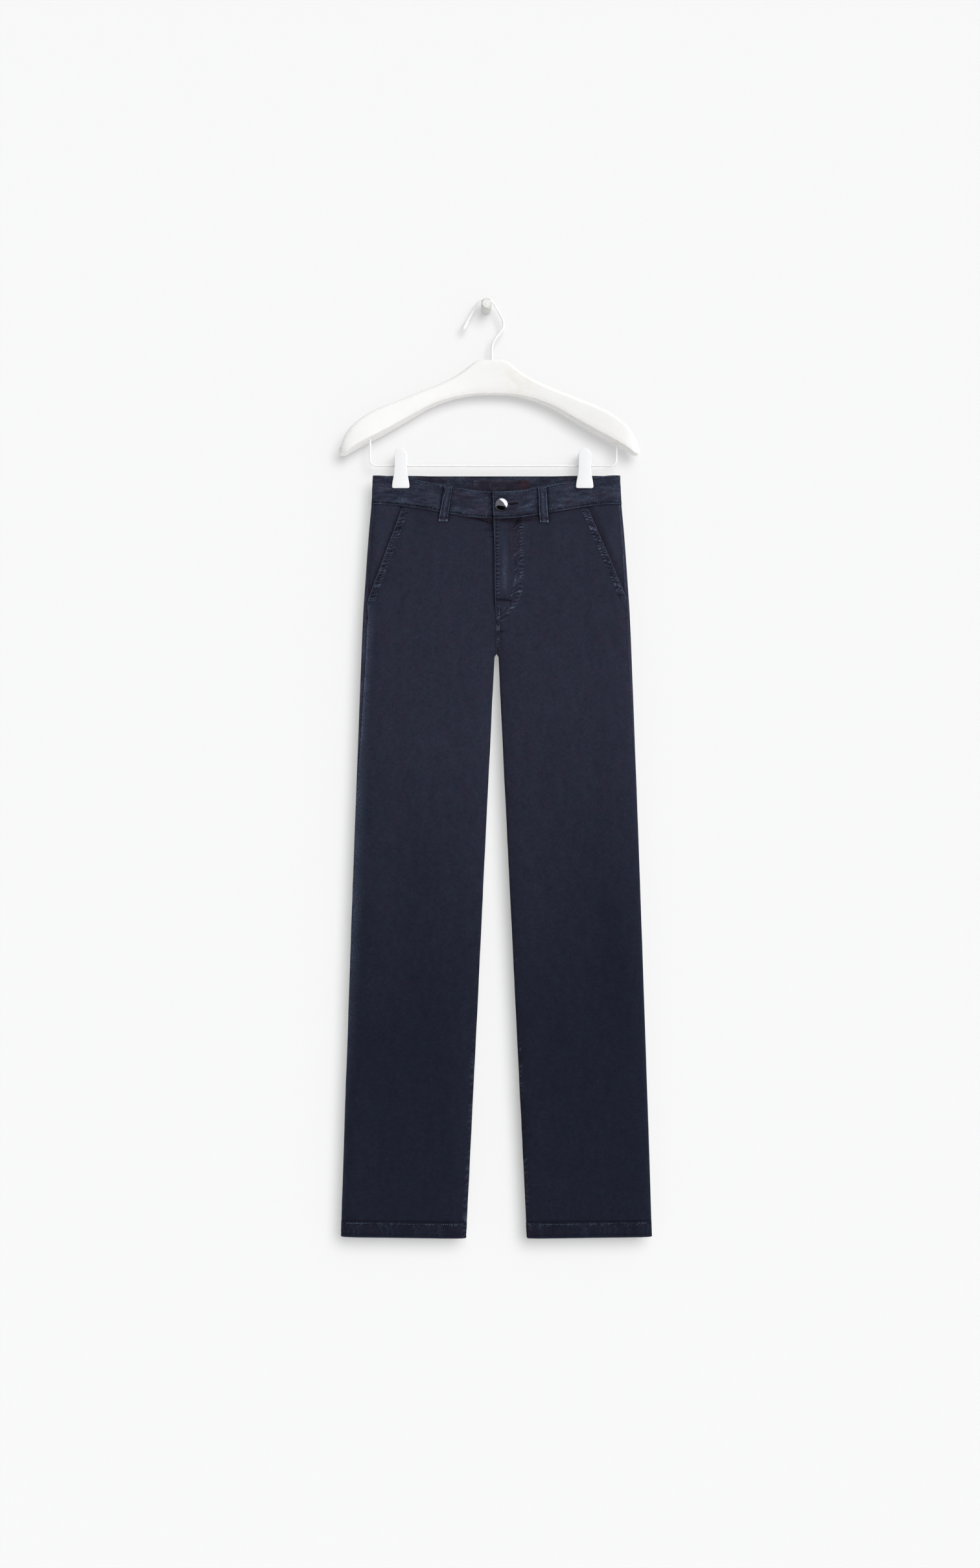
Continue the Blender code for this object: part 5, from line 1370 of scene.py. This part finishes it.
def jaw(name, x, face):
    """A flat jaw with rounded edges, a raised pad at its foot and a shallow thumb rest at its head."""
    heights = np.concatenate([np.linspace(0.0, 3.0, 6), np.linspace(5.0, 48.8, 18)])
    half = np.interp(heights, [h for h, _ in JAW], [w for _, w in JAW])
    kernel = np.array((0.25, 0.5, 0.25))
    half[6:-1] = np.convolve(half, kernel, "same")[6:-1]
    outline = [(w, h) for w, h in zip(half, heights)]
    outline += [(9.1 * math.cos(t), 48.8 + 9.1 * math.sin(t)) for t in np.linspace(0.0, math.pi, 21)[1:-1]]
    outline += [(-w, h) for w, h in reversed(outline[: len(heights)])]
    n = len(outline)
    line = np.array(outline)
    tangent = np.roll(line, -1, 0) - np.roll(line, 1, 0)
    normal = np.stack([tangent[:, 1], -tangent[:, 0]], -1)
    normal /= np.linalg.norm(normal, axis=1, keepdims=True)
    rings = []
    for inset, level in ((1.15, -1.5), (0.5, -1.38), (0.15, -1.1), (0.0, -0.7), (0.0, 0.7), (0.15, 1.1), (0.5, 1.38), (1.15, 1.5)):
        ring = line - normal * inset
        rings.append([(float(q[0]), float(q[1]), level) for q in ring])
    middle = [(0.0, 2.0), (0.0, 12.0), (0.0, 24.0), (0.0, 36.0), (0.0, 48.0)]
    points = [p for ring in rings for p in ring]
    faces = []
    for j in range(len(rings) - 1):
        for k in range(n):
            m2 = (k + 1) % n
            faces.append((j * n + k, j * n + m2, (j + 1) * n + m2, (j + 1) * n + k))
    # Faces: strips between the two sides, level by level.
    cols = len(heights)
    for j, turn in ((0, True), (len(rings) - 1, False)):
        base = j * n
        left = [base + k for k in range(cols)]
        right = [base + n - 1 - k for k in range(cols)]
        for k in range(cols - 1):
            q = (left[k], left[k + 1], right[k + 1], right[k])
            faces.append(q[::-1] if turn else q)
        crown = list(range(base + cols - 1, base + n - cols + 1))
        faces.append(tuple(crown[::-1]) if turn else tuple(crown))
    faces = outward(points, faces)
    made = []
    cosine, sine = math.cos(face * CLIP_TILT), math.sin(face * CLIP_TILT)
    pivot_y = MID_Y + face * (PINCH + 0.75 + 1.5)
    for a2, h, level in points:
        # A thumb dish near the head and a pad at the foot, on the outer side.
        outer_side = max(0.0, face * level / 1.5)
        dish = -0.45 * math.exp(-((h - 44.0) / 8.0) ** 2 - (a2 / 6.0) ** 2) + 0.25 * math.exp(-((h - 5.0) / 5.0) ** 2)
        level = level + face * dish * outer_side
        y = pivot_y + level * cosine + h * sine
        z = CLIP_BOTTOM + h * cosine - level * sine
        made.append(((x + a2) * MM, y * MM, z * MM))
    return solid(name, made, faces, sharp=34.0)


jaws = {}
for tag, x in (("r", CLIP_R), ("l", CLIP_L)):
    for word, face in (("front", -1), ("back", 1)):
        jaws[f"clip_jaw_{word}_{tag}"] = jaw(f"jaw_{word}_{tag}", x, face)


def turned(name, profile, count, origin, along=(0.0, -1.0, 0.0), **values):
    """A solid turned about a line from the wall outwards; profile is (radius, height) from the front's centre to the back's."""
    along = Vector(along)
    side = Vector((1.0, 0.0, 0.0)) if abs(along.x) < 0.5 else Vector((0.0, 1.0, 0.0))
    up = along.cross(side).normalized()
    points, faces = [], []
    rows = [q for q in profile]
    for r, h in rows:
        if r < 1e-6:
            points.append(Vector(origin) + along * h * MM)
        else:
            points += [Vector(origin) + (side * math.cos(t) + up * math.sin(t)) * r * MM + along * h * MM for t in (k / count * math.tau for k in range(count))]
    starts, at = [], 0
    for r, _ in rows:
        starts.append(at)
        at += 1 if r < 1e-6 else count
    for j in range(len(rows) - 1):
        a2, b2 = starts[j], starts[j + 1]
        ra, rb = rows[j][0] < 1e-6, rows[j + 1][0] < 1e-6
        for k in range(count):
            m2 = (k + 1) % count
            if ra:
                faces.append((a2, b2 + k, b2 + m2))
            elif rb:
                faces.append((a2 + k, a2 + m2, b2))
            else:
                faces.append((a2 + k, b2 + k, b2 + m2, a2 + m2))
    return solid(name, points, outward(points, faces), **values)


barrels = {}
for tag, x in (("r", CLIP_R), ("l", CLIP_L)):
    profile = [(BAR_WIRE + 0.35, -6.5), (3.9, -6.5), (4.4, -6.0)]
    for k in range(-5, 6):
        profile += [(4.4, k - 0.25), (4.15, k), (4.4, k + 0.25)]
    profile += [(4.4, 6.0), (3.9, 6.5), (BAR_WIRE + 0.35, 6.5), (BAR_WIRE + 0.35, -6.5)]
    barrels[tag] = turned(f"barrel_{tag}", profile, 28, Vector((x, MID_Y, BAR_Z)) * MM, along=(1.0, 0.0, 0.0))

# The peg: a painted dowel, its front edge worn, and painted shade greying its underside.
profile = [(0.0, PEG_LENGTH + 0.15), (3.0, PEG_LENGTH + 0.12), (5.4, PEG_LENGTH), (6.5, PEG_LENGTH - 0.12), (7.2, PEG_LENGTH - 0.45), (7.6, PEG_LENGTH - 1.0), (PEG_R, PEG_LENGTH - 1.9)]
profile += [(PEG_R + 0.05 * math.sin(k * 1.7), PEG_LENGTH - 1.9 - k * (PEG_LENGTH - 2.4) / 14.0) for k in range(1, 14)] + [(PEG_R, 0.0), (0.0, 0.0)]
peg = turned("peg", profile, 48, (0.0, 0.0, 0.0))
co = np.array([tuple(v.co) for v in peg.data.vertices]) / MM
radial = np.hypot(co[:, 0], co[:, 2])
rim = ridge(radial, PEG_R - 0.3, 1.3) * soft((co[:, 1] + PEG_LENGTH - 4.0) / -6.0 + 0.0)
rim = ridge(radial, PEG_R - 0.6, 1.2) * soft((-co[:, 1] - (PEG_LENGTH - 6.0)) / 4.0)
# Painted shade: the lower side of the peg is greyed.
belly = soft((-co[:, 2] + 0.5) / 6.0) * soft((PEG_LENGTH - 1.0 + co[:, 1]) / 3.0)
attribute(peg.data, "grime", np.clip(rim * 0.95 + belly * 0.75, 0.0, 1.0))

# The button: a domed cap with a rolled rim on a shank through the hole.
here = surface(BUTTON_X, BUTTON_DROP, -1).reshape(3)
stand = 1.0
under = BAND + LAYER - 0.3
cap = [(0.0, 3.7), (1.5, 3.68), (3.0, 3.58), (4.5, 3.4), (6.0, 3.1), (7.2, 2.75), (8.0, 2.42), (8.35, 2.2), (8.6, 2.12), (8.9, 2.2), (9.2, 2.15), (9.5, 1.9), (9.72, 1.5), (BUTTON_R, 1.0), (9.7, 0.5), (9.35, 0.12), (8.8, 0.0)]
profile = [(r, stand + h) for r, h in cap] + [(2.5, stand), (2.4, 0.2), (2.4, -under), (0.0, -under)]
button = turned("button_cap", profile, 72, Vector(here))
co = np.array([tuple(v.co) for v in button.data.vertices])
radial = np.hypot(co[:, 0] - here[0], co[:, 2] - here[2]) / MM
attribute(button.data, "rim", soft((radial - 8.3) / 0.6))
turn = np.degrees(np.arctan2(co[:, 2] - here[2], co[:, 0] - here[0])) % 360.0
# Painted reflection: a bright arc on the lower left of the rim.
attribute(button.data, "mottle_and_glint", soft((radial - 8.5) / 0.5) * soft((turn - 185.0) / 20.0) * soft((285.0 - turn) / 25.0))


# ---------------------------------------------------------------- materials
def tree_of(name):
    material = bpy.data.materials.new(name)
    material.use_nodes = True
    tree = material.node_tree
    return material, tree, tree.nodes["Principled BSDF"]


def node(tree, kind, **values):
    made = tree.nodes.new(kind)
    for key, value in values.items():
        if hasattr(made, key):
            setattr(made, key, value)
        else:
            made.inputs[key].default_value = value
    return made


def link(tree, source, target):
    tree.links.new(source, target)


def mix(tree, factor, a, b, blend="MIX"):
    """Mix of two colours; each is an output, a colour or, for factor, a number."""
    made = tree.nodes.new("ShaderNodeMix")
    made.data_type, made.blend_type = "RGBA", blend
    made.clamp_factor = True
    for socket, value in ((made.inputs["Factor"], factor), (made.inputs["A"], a), (made.inputs["B"], b)):
        pass
    sockets = [s for s in made.inputs if s.enabled]
    for socket, value in zip(sockets, (factor, a, b)):
        if isinstance(value, bpy.types.NodeSocket):
            tree.links.new(value, socket)
        elif isinstance(value, (int, float)):
            socket.default_value = value
        else:
            socket.default_value = (*value, 1.0)
    return [s for s in made.outputs if s.enabled][0]


def maths(tree, operation, *values, clamp=False):
    made = tree.nodes.new("ShaderNodeMath")
    made.operation, made.use_clamp = operation, clamp
    for socket, value in zip(made.inputs, values):
        if isinstance(value, bpy.types.NodeSocket):
            tree.links.new(value, socket)
        else:
            socket.default_value = value
    return made.outputs[0]


def read_attribute(tree, label, output="Fac"):
    made = tree.nodes.new("ShaderNodeAttribute")
    made.attribute_type, made.attribute_name = "GEOMETRY", label
    return made.outputs[output]


def noise(tree, vector, scale, detail=2.0, roughness=0.5, stretch=(1.0, 1.0, 1.0)):
    mapping = tree.nodes.new("ShaderNodeMapping")
    mapping.inputs["Scale"].default_value = stretch
    tree.links.new(vector, mapping.inputs["Vector"])
    made = tree.nodes.new("ShaderNodeTexNoise")
    made.inputs["Scale"].default_value = scale
    made.inputs["Detail"].default_value = detail
    made.inputs["Roughness"].default_value = roughness
    tree.links.new(mapping.outputs[0], made.inputs["Vector"])
    return made.outputs["Fac"]


def span(tree, value, low, high, to_low=0.0, to_high=1.0):
    made = tree.nodes.new("ShaderNodeMapRange")
    made.inputs["From Min"].default_value, made.inputs["From Max"].default_value = low, high
    made.inputs["To Min"].default_value, made.inputs["To Max"].default_value = to_low, to_high
    tree.links.new(value, made.inputs["Value"])
    return made.outputs[0]


def linear(r, g, b):
    """A colour given as it would be on a screen, 0 to 255."""
    return tuple(((c / 255.0) / 12.92 if c / 255.0 <= 0.04045 else ((c / 255.0 + 0.055) / 1.055) ** 2.4) for c in (r, g, b))


def twill(name, violet=(36.0, 38.2, 50.8), blue=(22.8, 26.8, 38.2), plum=(1.16, 0.93, 1.03), teal=(0.86, 1.02, 1.02), faded_and_highlight=(92, 103, 125), deep=(8, 8, 14), red_brown=(56, 32, 42), sheen=0.06):
    """Brushed, garment-dyed cotton twill: slubs both ways, a fine diagonal rib, mottled dye, paler where it is rubbed
    and where a highlight is painted, and darker where shade is painted.
    """
    material, tree, shader = tree_of(name)
    at = read_attribute(tree, "cloth_at", "Vector")
    tone, wear, dark, red = (read_attribute(tree, label) for label in ("tone", "wear", "dark", "red"))
    colour = mix(tree, tone, linear(*violet), linear(*blue))
    shift = tree.nodes.new("ShaderNodeVectorMath")
    shift.operation = "ADD"
    shift.inputs[1].default_value = (0.31, 0.17, 7.3)
    link(tree, at, shift.inputs[0])
    other = shift.outputs[0]
    for place, scale, low, high, shape, tint in (
        (at, 38.0, 0.50, 0.72, (1.0, 0.8, 1.0), plum),
        (other, 44.0, 0.50, 0.74, (1.0, 0.7, 1.0), teal),
        (other, 112.0, 0.50, 0.74, (0.8, 1.2, 1.0), plum),
        (at, 98.0, 0.52, 0.74, (1.1, 0.8, 1.0), teal),
    ):
        patch = mix(tree, span(tree, noise(tree, place, scale, 2.0, 0.55, shape), low, high, 0.0, 0.45 if scale < 60.0 else 0.8), (1.0, 1.0, 1.0), tint)
        colour = mix(tree, 1.0, colour, patch, "MULTIPLY")
    mottle_and_glint = noise(tree, at, 88.0, 3.0, 0.62, (1.0, 0.42, 1.0))
    hazy = noise(tree, other, 150.0, 2.0, 0.6, (1.0, 1.0, 1.0))
    # Slubs along the warp and the weft.
    warp = noise(tree, at, 700.0, 2.0, 0.55, (1.0, 0.24, 1.0))
    weft = noise(tree, at, 700.0, 2.0, 0.55, (0.24, 1.0, 1.0))
    grain = noise(tree, at, 640.0, 3.0, 0.65)
    fleck = noise(tree, other, 520.0, 2.0, 0.6, (1.0, 0.8, 1.0))
    cross = maths(tree, "ADD", maths(tree, "MULTIPLY", warp, 0.7), maths(tree, "MULTIPLY", weft, 0.6))
    cross = maths(tree, "ADD", cross, maths(tree, "MULTIPLY", grain, 1.2))
    light = span(tree, cross, 0.88, 1.62, 0.70, 1.30)
    light = maths(tree, "MULTIPLY", light, span(tree, mottle_and_glint, 0.28, 0.72, 0.91, 1.10))
    light = maths(tree, "MULTIPLY", light, span(tree, hazy, 0.28, 0.72, 0.93, 1.08))
    shade = tree.nodes.new("ShaderNodeCombineColor")
    for k in range(3):
        tree.links.new(light, shade.inputs[k])
    colour = mix(tree, 1.0, colour, shade.outputs[0], "MULTIPLY")
    # Wear, and the painted highlight, show on the raised yarns first.
    spots = maths(tree, "MULTIPLY", span(tree, cross, 0.95, 1.5, 0.55, 1.15), span(tree, fleck, 0.40, 0.62, 0.45, 1.45))
    colour = mix(tree, maths(tree, "MULTIPLY", wear, spots, clamp=True), colour, linear(*faded_and_highlight))
    colour = mix(tree, maths(tree, "MULTIPLY", red, 0.75, clamp=True), colour, linear(*red_brown))
    # Painted shade: the cloth is darkened towards the deep colour where the marks put shade, and a little by mottling.
    sunk = maths(tree, "MULTIPLY", dark, span(tree, fleck, 0.36, 0.66, 1.10, 0.72), clamp=True)
    colour = mix(tree, sunk, colour, linear(*deep))
    link(tree, colour, shader.inputs["Base Color"])
    shader.inputs["Roughness"].default_value = 0.92
    shader.inputs["Specular IOR Level"].default_value = 0.05
    shader.inputs["Sheen Weight"].default_value = sheen
    shader.inputs["Sheen Roughness"].default_value = 0.45
    shader.inputs["Sheen Tint"].default_value = (0.62, 0.70, 1.0, 1.0)
    # Height: diagonal rib, then slubs.
    rib = tree.nodes.new("ShaderNodeTexWave")
    rib.wave_type, rib.bands_direction, rib.wave_profile = "BANDS", "DIAGONAL", "SIN"
    rib.inputs["Scale"].default_value = 330.0
    rib.inputs["Distortion"].default_value = 0.8
    rib.inputs["Detail"].default_value = 1.0
    flat = tree.nodes.new("ShaderNodeMapping")
    flat.inputs["Scale"].default_value = (1.0, 1.0, 0.0)
    link(tree, at, flat.inputs["Vector"])
    link(tree, flat.outputs[0], rib.inputs["Vector"])
    height = maths(tree, "ADD", maths(tree, "MULTIPLY", rib.outputs["Fac"], 0.35), cross)
    bump = tree.nodes.new("ShaderNodeBump")
    bump.inputs["Strength"].default_value = 0.55
    bump.inputs["Distance"].default_value = 0.00028
    link(tree, height, bump.inputs["Height"])
    link(tree, bump.outputs[0], shader.inputs["Normal"])
    return material


def thread(name):
    material, tree, shader = tree_of(name)
    pale = read_attribute(tree, "pale")
    colour = mix(tree, pale, linear(36, 43, 58), linear(104, 118, 140))
    # Below zero a place is a needle hole, not a thread: a near-black speck of painted shade.
    colour = mix(tree, maths(tree, "MULTIPLY", pale, -1.6, clamp=True), colour, linear(9, 8, 14))
    link(tree, colour, shader.inputs["Base Color"])
    shader.inputs["Roughness"].default_value = 0.85
    shader.inputs["Specular IOR Level"].default_value = 0.06
    shader.inputs["Sheen Weight"].default_value = 0.03
    return material


def painted(name, base, other, rough, scale=60.0, grime=None, beige=None, bump_depth=0.00003):
    """Matt paint with faint mottling, and the marks that vertex values place."""
    material, tree, shader = tree_of(name)
    place = tree.nodes.new("ShaderNodeTexCoord").outputs["Object"]
    spots = noise(tree, place, scale, 3.0, 0.6)
    colour = mix(tree, span(tree, spots, 0.45, 0.8, 0.0, 0.8), base, other)
    if beige:
        patches = noise(tree, place, 95.0, 3.0, 0.65)
        amount = maths(tree, "MULTIPLY", read_attribute(tree, "beige"), span(tree, patches, 0.40, 0.68, 0.1, 1.0), clamp=True)
        colour = mix(tree, amount, colour, beige)
    # Darker paint where the vertex values say: real chips, and painted shade.
    if grime:
        fleck = noise(tree, place, 420.0, 3.0, 0.7)
        amount = maths(tree, "MULTIPLY", read_attribute(tree, "grime"), span(tree, fleck, 0.38, 0.66, 0.15, 1.0), clamp=True)
        colour = mix(tree, amount, colour, grime)
    link(tree, colour, shader.inputs["Base Color"])
    shader.inputs["Roughness"].default_value = rough
    shader.inputs["Specular IOR Level"].default_value = 0.35
    bump = tree.nodes.new("ShaderNodeBump")
    bump.inputs["Strength"].default_value = 0.5
    bump.inputs["Distance"].default_value = bump_depth
    link(tree, noise(tree, place, 900.0, 3.0, 0.6), bump.inputs["Height"])
    link(tree, bump.outputs[0], shader.inputs["Normal"])
    return material


cloth_look = twill("navy_twill")
patch_look = twill("patch_cloth", violet=(43, 42, 54), blue=(43, 42, 54), faded_and_highlight=(104, 104, 122), red_brown=(60, 38, 42), sheen=0.05)
thread_look = thread("navy_thread")
wood_look = painted("white_wood", (0.77, 0.765, 0.75), (0.80, 0.795, 0.785), 0.6, 40.0, grime=(0.46, 0.42, 0.36), beige=(0.73, 0.685, 0.61))
wire_look = painted("white_wire", (0.80, 0.80, 0.79), (0.78, 0.77, 0.75), 0.5, 120.0)
clip_look = painted("white_clip", (0.78, 0.78, 0.785), (0.76, 0.76, 0.77), 0.42, 80.0)
peg_look = painted("peg_paint", (0.74, 0.74, 0.725), (0.62, 0.61, 0.585), 0.6, 260.0, grime=(0.30, 0.285, 0.26), bump_depth=0.0001)

material, tree, shader = tree_of("dark_nickel")
rim = read_attribute(tree, "rim")
scratch = noise(tree, tree.nodes.new("ShaderNodeTexCoord").outputs["Object"], 700.0, 3.0, 0.6, (1.0, 1.0, 3.0))
# Painted reflection: the rim's metal is given darker than the dome's, and its lower-left arc bright.
colour = mix(tree, rim, (0.49, 0.49, 0.57), (0.15, 0.14, 0.17))
colour = mix(tree, read_attribute(tree, "mottle_and_glint"), colour, (0.80, 0.80, 0.82))
colour = mix(tree, span(tree, scratch, 0.5, 0.8, 0.0, 0.25), colour, (0.20, 0.20, 0.23))
link(tree, colour, shader.inputs["Base Color"])
shader.inputs["Metallic"].default_value = 1.0
link(tree, span(tree, scratch, 0.3, 0.8, 0.03, 0.08), shader.inputs["Roughness"])
nickel_look = material


def wear_look(thing, material):
    thing.data.materials.clear()
    thing.data.materials.append(material)


# ---------------------------------------------------------------- ride and replace
for name, (thing, stands_for, grid) in cloth_pieces.items():
    wear_look(thing, patch_look if name == "inner_patch" else cloth_look)
    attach(thing, "root")
    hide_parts(*stands_for)
threads_on = {}
for name, (thing, on) in thread_pieces.items():
    wear_look(thing, thread_look)
    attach(thing, "root")
    threads_on.setdefault(on, []).append(thing)
for name, (thing, stands_for, grid) in cloth_pieces.items():
    if name.startswith("band"):
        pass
    elif name.startswith(("front", "back", "facing")):
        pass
    elif name == "inner_patch":
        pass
    elif name == "fly_back":
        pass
    elif name.endswith("centre"):
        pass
    else:
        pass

for thing, stands_for, material, slot_name in (
    (hanger, ("hanger_body",), wood_look, "hanger_body_white"),
    (hook, ("hanger_hook",), wire_look, "hanger_hook_white"),
    (tip, ("hook_tip",), clip_look, "hook_tip_white"),
    (bar, ("hanger_bar",), wire_look, "hanger_bar_white"),
    (barrels["r"], ("clip_barrel_r",), clip_look, "clip_barrel_r_white"),
    (barrels["l"], ("clip_barrel_l",), clip_look, "clip_barrel_l_white"),
    (peg, ("wall_peg",), peg_look, "wall_peg_paint"),
    (button, ("button",), nickel_look, "button_metal"),
    *((thing, (name,), clip_look, f"{name}_white") for name, thing in jaws.items()),
):
    wear_look(thing, material)
    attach(thing, "root")
    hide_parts(*stands_for)


# ---------------------------------------------------------------- wall, floor, light and camera
def sheet_of(name, corners, material):
    mesh = bpy.data.meshes.new(name)
    mesh.from_pydata(corners, [], [(0, 1, 2, 3)])
    mesh.materials.append(material)
    thing = bpy.data.objects.new(name, mesh)
    bpy.context.scene.collection.objects.link(thing)
    return thing


material, tree, shader = tree_of("wall_paint")
shader.inputs["Base Color"].default_value = (0.10, 0.10, 0.10, 1.0)
shader.inputs["Emission Color"].default_value = (1.0, 1.0, 1.0, 1.0)
shader.inputs["Emission Strength"].default_value = 0.002
shader.inputs["Roughness"].default_value = 0.95
shader.inputs["Specular IOR Level"].default_value = 0.0
clear = tree.nodes.new("ShaderNodeBsdfTransparent")
either = tree.nodes.new("ShaderNodeMixShader")
side_of = tree.nodes.new("ShaderNodeNewGeometry")
link(tree, side_of.outputs["Backfacing"], either.inputs[0])
link(tree, shader.outputs[0], either.inputs[1])
link(tree, clear.outputs[0], either.inputs[2])
link(tree, either.outputs[0], tree.nodes["Material Output"].inputs["Surface"])
# The wall is one-sided, so that the back can be looked at.
wall = sheet_of("wall", [(-7.0, 0.0005, -1.9), (7.0, 0.0005, -1.9), (7.0, 0.0005, 6.0), (-7.0, 0.0005, 6.0)], material)
wall.visible_shadow = False
wall_only = bpy.data.collections.new("the_wall")
wall_only.objects.link(wall)

material, tree, shader = tree_of("floor_paint")
shader.inputs["Base Color"].default_value = (0.84, 0.84, 0.84, 1.0)
shader.inputs["Roughness"].default_value = 0.9
floor = sheet_of("floor", [(-9.0, -9.0, -1.9), (9.0, -9.0, -1.9), (9.0, 9.0, -1.9), (-9.0, 9.0, -1.9)], material)

floor.visible_glossy = False

scene = bpy.context.scene
world = bpy.data.worlds.new("studio")
world.use_nodes = True
tree = world.node_tree
aim = tree.nodes.new("ShaderNodeTexCoord").outputs["Generated"]


def lobe(towards, inner, outer):
    """How far the sky direction is within a round patch, 1 inside and 0 outside; the angles are in degrees."""
    dot = tree.nodes.new("ShaderNodeVectorMath")
    dot.operation = "DOT_PRODUCT"
    dot.inputs[1].default_value = Vector(towards).normalized()
    link(tree, aim, dot.inputs[0])
    made = tree.nodes.new("ShaderNodeMapRange")
    made.interpolation_type = "SMOOTHSTEP"
    made.inputs["From Min"].default_value, made.inputs["From Max"].default_value = math.cos(math.radians(outer)), math.cos(math.radians(inner))
    link(tree, dot.outputs["Value"], made.inputs["Value"])
    return made.outputs[0]


# A big soft window high on the right, and the dark half of the room low on the left. Polished metal sees the window
# sharper and the dark part smaller, and the room itself shows as a plain pale backdrop.
window_at = lobe((0.78, -0.05, 0.62), 66.0, 69.0)
sky = maths(tree, "ADD", 0.60, maths(tree, "MULTIPLY", window_at, 1.15))
sky = maths(tree, "MULTIPLY", sky, span(tree, lobe((-0.36, -0.76, -0.54), 50.0, 60.0), 0.0, 1.0, 1.0, 0.03))
mirrored = maths(tree, "ADD", 0.25, maths(tree, "MULTIPLY", lobe((0.74, -0.05, 0.67), 66.5, 67.5), 2.1))
mirrored = maths(tree, "MULTIPLY", mirrored, span(tree, lobe((-0.12, -0.66, -0.74), 46.0, 51.0), 0.0, 1.0, 1.0, 0.02))
ray = tree.nodes.new("ShaderNodeLightPath")
is_seen, is_mirrored = ray.outputs["Is Camera Ray"], ray.outputs["Is Glossy Ray"]
sky = maths(tree, "ADD", maths(tree, "MULTIPLY", sky, maths(tree, "SUBTRACT", 1.0, is_mirrored)), maths(tree, "MULTIPLY", mirrored, is_mirrored))
sky = maths(tree, "ADD", maths(tree, "MULTIPLY", sky, maths(tree, "SUBTRACT", 1.0, is_seen)), maths(tree, "MULTIPLY", is_seen, 0.82))
background = tree.nodes["Background"]
background.inputs["Color"].default_value = (0.985, 0.99, 1.0, 1.0)
link(tree, sky, background.inputs["Strength"])
scene.world = world


def sun(name, towards, strength, angle):
    """A distant light; towards is the direction to it."""
    data = bpy.data.lights.new(name, "SUN")
    data.energy, data.angle = strength, math.radians(angle)
    thing = bpy.data.objects.new(name, data)
    thing.rotation_mode = "QUATERNION"
    thing.rotation_quaternion = Vector(towards).normalized().to_track_quat("Z", "Y")
    thing.location = Vector(towards) * 3.0
    scene.collection.objects.link(thing)
    return thing


key = sun("key", (0.6, -1.0, 0.3), 0.75, 26.0)
sun("behind", (0.35, 1.0, 0.5), 0.9, 30.0)
soft_back = sun("soft_back", (0.25, 1.0, 0.30), 2.2, 40.0)
cloth_only = bpy.data.collections.new("the_cloth")
for thing, *_ in (*cloth_pieces.values(), *thread_pieces.values()):
    cloth_only.objects.link(thing)
soft_back.light_linking.receiver_collection = cloth_only
# Two of the wall's own lights: one shaded by the cloth, and a steeper one by the hanger, clips and peg, which stand out further.
hard_only = bpy.data.collections.new("the_hard_parts")
for thing in (hanger, hook, tip, bar, peg, *jaws.values(), *barrels.values()):
    hard_only.objects.link(thing)
for label, towards, strength, angle, shaded_by in (("near", (0.30, -1.0, 0.43), 16.5, 43.0, cloth_only), ("steep", (0.25, -1.0, 0.27), 11.9, 31.0, hard_only)):
    light = sun(label, towards, strength, angle)
    light.light_linking.receiver_collection = wall_only
    light.light_linking.blocker_collection = shaded_by

data = bpy.data.cameras.new("camera")
data.lens, data.sensor_width, data.sensor_fit = 53.24, 36.0, "AUTO"
data.clip_start, data.clip_end = 0.05, 60.0
data.dof.use_dof = False
camera = bpy.data.objects.new("camera", data)
camera.location = (0.0050, -3.430, -0.7019)
camera.rotation_euler = (math.pi / 2, 0.0, 0.0)
scene.collection.objects.link(camera)
scene.camera = camera
scene.view_settings.view_transform = "Standard"
scene.view_settings.look = "None"
